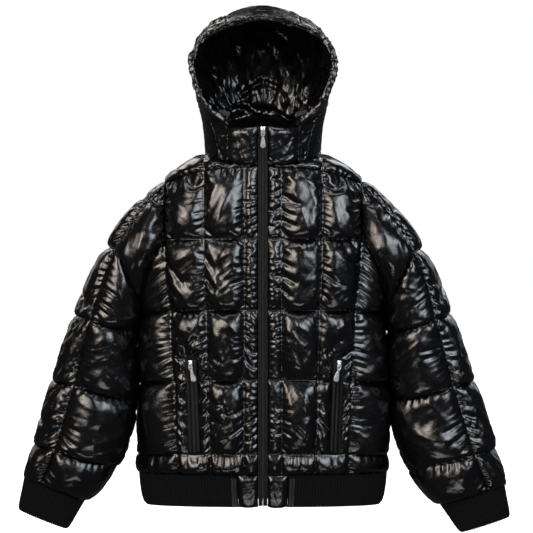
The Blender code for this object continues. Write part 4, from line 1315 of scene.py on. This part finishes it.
def stitch_row(points, normals, length=STITCH_LENGTH, gap=STITCH_GAP, radius=STITCH_RADIUS):
    """Vertices and faces of a row of stitches along a line of points on cloth."""
    points = np.array(points, float)
    normals = np.array(normals, float)
    walked = walked_along(points)
    count = int(walked[-1] // (length + gap))
    verts = []
    faces = []
    for start in np.arange(count) * (length + gap) + gap:
        faces += tube_faces(len(STITCH_RINGS), STITCH_SIDES, len(verts))
        for share, size, sunk in STITCH_RINGS:
            spot = start + length * share
            centre = read_at(spot, walked, points)
            way = read_at(spot, walked, normals)
            along = (read_at(spot + STITCH_STEP, walked, points)
                     - read_at(spot - STITCH_STEP, walked, points))
            side = np.cross(along, way)
            side = side / max(np.linalg.norm(side), 1e-9)
            for turn in range(STITCH_SIDES):
                angle = 2 * math.pi * turn / STITCH_SIDES
                verts.append(centre - way * sunk
                             + (side * math.cos(angle) + way * math.sin(angle)) * radius * size)
    return verts, faces


def make_stitches(name, rows, slot="nylon", **sizes):
    """All the rows of stitches that belong together, as one piece."""
    verts = []
    faces = []
    for points, normals in rows:
        more, shape = stitch_row(points, normals, **sizes)
        faces += [tuple(v + len(verts) for v in face) for face in shape]
        verts += more
    piece = make_object(name, [tuple(v) for v in verts], faces, THREAD)
    return piece


# ---------------------------------------------------------------- hood's binding and tabs

BINDING_PUCKER = 0.0013
BINDING_STEP = 0.0016
BINDING_SIDES = 22
BINDING_POWER = 0.75        # makes its round section a little square
BINDING_ROWS = (0.45, -0.45)    # places of the stitches, as shares of its half thickness
FURROW_WIDTH = 0.13
FURROW_DEPTH = 0.16
STITCH_PLACE = 0.82         # share of its half width at which the stitches lie


def binding_frame(s):
    edge = hood(s, 0)
    way = hood_normal(s, 0)
    forward = (edge - hood(s, 0.1)).normalized()
    forward = (forward - way * forward.dot(way)).normalized()
    centre = edge + forward * BINDING_FORWARD - way * (BINDING_HALF_THICKNESS - 0.0015)
    return centre, forward, way


def make_binding():
    """A folded edge, puckered by two rows of stitches that run all along it."""
    rng = np.random.default_rng(31)
    places = even_places(lambda s: hood(s, 0), BINDING_START, 10 - BINDING_START, BINDING_STEP)
    shape = count, sides = len(places), BINDING_SIDES
    puckers = noise(shape, (3.2, 7), rng) * 0.6 + noise(shape, (7, 22), rng) * 0.5
    verts = []
    rows = ([], [])
    for n, s in enumerate(places):
        centre, forward, way = binding_frame(s)
        for m in range(sides):
            a = 2 * math.pi * m / sides
            x = math.copysign(abs(math.cos(a)) ** BINDING_POWER, math.cos(a))
            y = math.copysign(abs(math.sin(a)) ** BINDING_POWER, math.sin(a))
            # two furrows on the front face, where the stitches lie
            furrow = max(math.exp(-((y - row) / FURROW_WIDTH) ** 2) for row in BINDING_ROWS)
            reach = 1 - (FURROW_DEPTH * furrow if x > 0.2 else 0.0)
            out = 1 + puckers[n, m] * BINDING_PUCKER / BINDING_HALF_WIDTH * (1 - 0.8 * furrow)
            verts.append(centre + forward * (x * BINDING_HALF_WIDTH * reach * out)
                         + way * (y * BINDING_HALF_THICKNESS * out))
        front = centre + forward * (BINDING_HALF_WIDTH * STITCH_PLACE)
        for row, y in zip(rows, BINDING_ROWS):
            row.append((front + way * (y * BINDING_HALF_THICKNESS), forward))
    piece = make_object("edge_of_hood", verts, tube_faces(count, sides), NYLON)
    turn_out(piece)
    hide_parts("hood_binding")
    make_stitches("stitches_hood_edge", [tuple(zip(*row)) for row in rows])


TAB_CELLS = (24, 12)    # across and up
TAB_EDGE = 0.55         # share of its thickness at the edges
TAB_BOW = 0.0010        # how far the middle stands out
TAB_RIB = 0.00015       # depth of the webbing's ribs


def make_hood_tabs():
    """Short lengths of webbing at the hood's edge, each a thin bowed slab with fine ribs."""
    width, depth, height = TAB_SIZE
    across, up = TAB_CELLS
    for side in SIDES:
        matrix = Matrix.Translation(TAB_PLACE[side]) @ Matrix.Rotation(TAB_TURN[side], 4, "Y")
        verts = []
        for face in (-1, 1):
            for i in range(across + 1):
                for j in range(up + 1):
                    x = (i / across - 0.5) * width
                    z = (j / up - 0.5) * height
                    thin = TAB_EDGE if min(i, across - i, j, up - j) == 0 else 1.0
                    rib = TAB_RIB * math.cos(math.pi * i)
                    bow = TAB_BOW * (math.cos(math.pi * x / width) - 0.5)
                    verts.append(matrix @ Vector((x, face * (depth / 2 * thin + rib) - bow, z)))
        piece = make_object("loop_hood_" + side, verts, layer_faces(across + 1, up + 1), WEBBING)
        turn_out(piece)
        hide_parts("hood_tab_" + side)


# ---------------------------------------------------------------- zips

TOOTH_PITCH = 0.00150
TOOTH_HALF_WIDTH = 0.0021
TOOTH_WIRE = 0.00042
TOOTH_HEIGHT = 0.0006
COIL_SIDES = 8
COIL_PATH = (
    # one bent piece of wire, from outside over the middle: share of the half width, share of
    # the height, share of the pitch
    (1.0, -0.2, 0.1),
    (0.9, 0.55, 0.1),
    (0.45, 1.0, 0.0),
    (-0.10, 0.95, -0.05),
    (-0.28, 0.2, -0.1),
)
POCKET_TAPE_HALF_WIDTH = 0.0108


def ribbon(name, line, ways, sides, half_width, inner_edge):
    """A strip of woven tape with a rounded raised edge, along a line of points."""
    profile = (
        # share of the half width, height as a share of the thickness
        (inner_edge, 0.20), (inner_edge + 0.03, 0.35), (0.30, 0.40), (0.36, 0.95), (0.42, 1.35),
        (0.50, 1.05), (0.76, 0.95), (0.82, 0.60), (0.88, 1.30), (0.95, 1.20), (1.0, 0.4),
        (1.0, 0.0), (inner_edge, 0.0),
    )
    verts = []
    for place, way, side in zip(line, ways, sides):
        for share, height in profile:
            verts.append(place + side * (half_width * share)
                         + way * (TAPE_THICKNESS * height - TAPE_THICKNESS))
    piece = make_object(name, verts, tube_faces(len(line), len(profile)), TAPE)
    turn_out(piece)
    return piece


def make_coil(name, line, ways, sides, height=0.0004):
    """The closed nylon coil: small loops from both tapes, crossing at the middle."""
    line, ways, sides = (np.array(values, float) for values in (line, ways, sides))
    walked = walked_along(line)
    turns = [2 * math.pi * turn / COIL_SIDES for turn in range(COIL_SIDES)]
    verts = []
    faces = []
    for n in range(int(walked[-1] / TOOTH_PITCH)):
        spot = (n + 0.5) * TOOTH_PITCH
        place, way, side = (read_at(spot, walked, values) for values in (line, ways, sides))
        along = np.cross(side, way)
        for hand in (-1, 1):
            faces += tube_faces(len(COIL_PATH), COIL_SIDES, len(verts))
            for x, y, z in COIL_PATH:
                centre = (place + side * (hand * x * TOOTH_HALF_WIDTH)
                          + way * (height + y * TOOTH_HEIGHT)
                          + along * ((z + 0.25 * hand) * TOOTH_PITCH))
                for angle in turns:
                    a = math.cos(angle)
                    b = math.sin(angle)
                    verts.append(centre + along * (a * TOOTH_WIRE) + way * (b * TOOTH_WIRE * 0.9)
                                 + side * (b * TOOTH_WIRE * 0.3 * hand))
    piece = make_object(name, [tuple(v) for v in verts], faces, COIL)
    turn_out(piece)


def line_frame(line, out):
    """Ways out of the cloth and across it, for a line that runs up the jacket."""
    ways = []
    sides = []
    for n in range(len(line)):
        along = (line[min(n + 1, len(line) - 1)] - line[max(n - 1, 0)]).normalized()
        way = out[n] - along * out[n].dot(along)
        way = way.normalized()
        ways.append(way)
        sides.append(way.cross(along).normalized())
    return ways, sides


def front_line():
    """Points up the middle of the closed front zip."""
    line = [hem(ZIP_Q, lerp(3.5, 0.2, n / 10)) for n in range(11)]
    line += [torso(ZIP_Q, lerp(0.02, 4.97, n / 90)) for n in range(91)]
    line += [half_collar(COLLAR_START_ANGLE, lerp(0.02, 1.0, n / 16)) for n in range(17)]
    return [Vector((0, p.y - TAPE_PROUD, p.z)) for p in line]


def beside(line, ways, sides, across, out):
    """A line moved across the cloth and out of it, for a row of stitches."""
    return [p + s * across + w * out for p, s, w in zip(line, sides, ways)], ways


def make_front_zip():
    line = front_line()
    ways, sides = line_frame(line, [Vector((0, -1, 0))] * len(line))
    # sides point to -X, the wearer's right
    for side, hand in (("right", 1), ("left", -1)):
        across = [way * hand for way in sides]
        piece = ribbon("tape_front_" + side, line, ways, across, TAPE_HALF_WIDTH, 0.12)
        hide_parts("zip_tape_" + side)
    make_coil("coil_front", line, ways, sides)
    rows = [beside(line, ways, sides, hand * TAPE_HALF_WIDTH * share, 0.0005)
            for hand in (-1, 1) for share in (0.46, 0.92)]
    make_stitches("stitches_front_zip", rows, slot="tape", radius=0.00042)


def pocket_line(side, steps=44):
    """Points up the middle of a pocket zip, and the way the cloth faces at each."""
    line = []
    out = []
    for n in range(steps + 1):
        v = lerp(POCKET_LOW_V, POCKET_HIGH_V, n / steps)
        way = torso_normal(POCKET_Q[side], v)
        line.append((torso(POCKET_Q[side], v) + way * (POCKET_LIFT + TAPE_THICKNESS)) * FLIP[side])
        out.append(way * FLIP[side])
    return line, out


def make_pocket_zips():
    for side in SIDES:
        line, out = pocket_line(side)
        ways, sides = line_frame(line, out)
        piece = ribbon("tape_pocket_" + side, line, ways, sides, POCKET_TAPE_HALF_WIDTH, -1.0)
        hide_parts("pocket_tape_" + side)
        make_coil("coil_pocket_" + side, line, ways, sides, height=0.0006)
        rows = [beside(line, ways, sides, hand * POCKET_TAPE_HALF_WIDTH * 0.72, 0.0001)
                for hand in (-1, 1)]
        make_stitches("stitches_pocket_" + side, rows, slot="tape", radius=0.0004)


# ---------------------------------------------------------------- sliders and pull tabs

SLIDER_BEVEL = 0.0002
PULLER_BEVEL = 0.00045
SHARP_ANGLE = math.radians(35)
SMOOTH_ANGLE = math.radians(40)


def rounded_copy(node, width, segments=2):
    """The CAD node's own solid with softened edges."""
    mesh = bmesh.new()
    mesh.from_mesh(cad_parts[node].data)
    bmesh.ops.remove_doubles(mesh, verts=mesh.verts, dist=0.00001)
    bmesh.ops.dissolve_limit(mesh, angle_limit=math.radians(1), verts=mesh.verts,
                             edges=mesh.edges)
    sharp = [edge for edge in mesh.edges
             if len(edge.link_faces) == 2 and edge.calc_face_angle() > SHARP_ANGLE]
    bmesh.ops.bevel(mesh, geom=sharp, offset=width, segments=segments, affect="EDGES",
                    clamp_overlap=True)
    data = bpy.data.meshes.new("metal_" + node)
    mesh.to_mesh(data)
    mesh.free()
    data.shade_smooth()
    data.set_sharp_from_angle(angle=SMOOTH_ANGLE)
    data.materials.append(METAL)
    piece = bpy.data.objects.new("metal_" + node, data)
    bpy.context.scene.collection.objects.link(piece)
    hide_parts(node)
    return piece


TAB_STITCH_SHARES = (1.07, 1.15)    # places beside the hem's tabs, as shares of their width
ZIGZAG = 0.035


def make_tab_stitches():
    """Two rows of zig-zag stitches up the knit beside each quilted tab on the hem."""
    rows = []
    for flip in FLIP.values():
        for share in TAB_STITCH_SHARES:
            places = []
            ways = []
            for n in range(49):
                q = lerp(ZIP_Q, HEM_TAB_Q, share + (ZIGZAG if n % 2 else -ZIGZAG))
                w = lerp(HEM_END - 0.1, 0.3, n / 48)
                way = hem_normal(q, w)
                places.append((hem(q, w) + way * 0.0013) * flip)
                ways.append(way * flip)
            rows.append((places, ways))
    make_stitches("stitches_hem_tabs", rows, length=0.0016, gap=0.0004, radius=0.00045)


def make_sliders():
    for node in ("zip_slider", "pocket_slider_right", "pocket_slider_left"):
        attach(rounded_copy(node, SLIDER_BEVEL), "jacket")
    for node in ("zip_puller", "pocket_puller_right", "pocket_puller_left"):
        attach(rounded_copy(node, PULLER_BEVEL, 3), node)


make_panels()
make_lining()
make_ribs()
make_binding()
make_hood_tabs()
make_front_zip()
make_pocket_zips()
make_tab_stitches()
make_sliders()


# ---------------------------------------------------------------- floor, light and camera

FLOOR_GLOW = 0.55       # makes the floor as white as what is behind it
FLOOR_SIZE = 60
FLOOR_DROP = 0.06


def make_stage():
    bpy.ops.mesh.primitive_plane_add(size=FLOOR_SIZE, location=(0, 0, CAD_BOX[0].z - FLOOR_DROP))
    floor = bpy.context.object
    floor.name = "floor"
    paper = new_material("floor", (0.93, 0.93, 0.93), 0.9, Emission_Color=(1, 1, 1, 1),
                         Emission_Strength=FLOOR_GLOW)
    floor.data.materials.append(paper)
    floor.visible_glossy = False


def make_world():
    """White to the camera, dim to glossy rays, and soft grey light for all others."""
    world = bpy.data.worlds.new("studio")
    bpy.context.scene.world = world
    world.use_nodes = True
    nodes = world.node_tree.nodes
    links = world.node_tree.links
    nodes.clear()
    rays = nodes.new("ShaderNodeLightPath")
    soft, gloss, seen = (nodes.new("ShaderNodeBackground") for _ in range(3))
    gloss.inputs["Color"].default_value = (0.90, 0.94, 1.0, 1)
    gloss.inputs["Strength"].default_value = 0.05
    seen.inputs["Color"].default_value = (1, 1, 1, 1)
    shown = soft
    for kind, other in (("Is Glossy Ray", gloss), ("Is Camera Ray", seen)):
        mix = nodes.new("ShaderNodeMixShader")
        links.new(rays.outputs[kind], mix.inputs["Fac"])
        links.new(shown.outputs[0], mix.inputs[1])
        links.new(other.outputs[0], mix.inputs[2])
        shown = mix
    out = nodes.new("ShaderNodeOutputWorld")
    links.new(shown.outputs[0], out.inputs["Surface"])


LIGHTS = (
    # name, place, aimed at, size, power, colour
    ("front_left", (-2.0, -3.1, 1.4), (0, 0, -0.25), (2.7, 2.4), 80, (1.0, 0.90, 0.80)),
    ("front_right", (2.0, -3.1, 1.4), (0, 0, -0.25), (2.7, 2.4), 66, (0.86, 0.93, 1.0)),
    ("core_left", (-1.7, -2.9, 1.3), (0, 0, -0.25), (1.2, 1.6), 45, (1.0, 0.88, 0.76)),
    ("core_right", (1.7, -2.9, 1.3), (0, 0, -0.25), (1.2, 1.6), 40, (0.86, 0.93, 1.0)),
    ("top", (0.0, -0.9, 2.8), (0, 0, -0.2), (2.2, 1.0), 30, (0.96, 0.98, 1.0)),
    ("low", (0.0, -2.6, -1.7), (0, 0, 0.1), (1.6, 0.5), 12, (1.0, 0.97, 0.93)),
    ("back_left", (-1.5, 2.4, 2.5), (0, 0, -0.2), (1.6, 1.8), 38, (1.0, 0.93, 0.86)),
    ("back_right", (1.5, 2.4, 2.5), (0, 0, -0.2), (1.6, 1.8), 38, (0.90, 0.95, 1.0)),
    ("side_left", (-2.3, 2.9, 1.3), (0, 0, -0.25), (2.4, 2.0), 13, (1.0, 0.93, 0.86)),
    ("side_right", (2.3, 2.9, 1.3), (0, 0, -0.25), (2.4, 2.0), 13, (0.90, 0.95, 1.0)),
)


def make_lights():
    for name, place, aim, size, power, colour in LIGHTS:
        data = bpy.data.lights.new(name, "AREA")
        data.shape = "RECTANGLE"
        data.size, data.size_y = size
        data.energy = power
        data.color = colour
        lamp = bpy.data.objects.new(name, data)
        lamp.location = place
        lamp.rotation_euler = (Vector(aim) - Vector(place)).to_track_quat("-Z", "Y").to_euler()
        bpy.context.scene.collection.objects.link(lamp)


CAMERA_DISTANCE = 6.0
CAMERA_CENTRE = (0.0068, -0.222)
CAMERA_WIDTH = 1.034


def make_camera():
    data = bpy.data.cameras.new("camera")
    data.sensor_width = 36
    data.lens = 36 * CAMERA_DISTANCE / CAMERA_WIDTH
    data.clip_end = 100
    camera = bpy.data.objects.new("camera", data)
    camera.location = (CAMERA_CENTRE[0], -CAMERA_DISTANCE, CAMERA_CENTRE[1])
    camera.rotation_euler = (math.radians(90), 0, 0)
    bpy.context.scene.collection.objects.link(camera)
    bpy.context.scene.camera = camera
    bpy.context.scene.view_settings.view_transform = "Standard"


make_stage()
make_world()
make_lights()
make_camera()
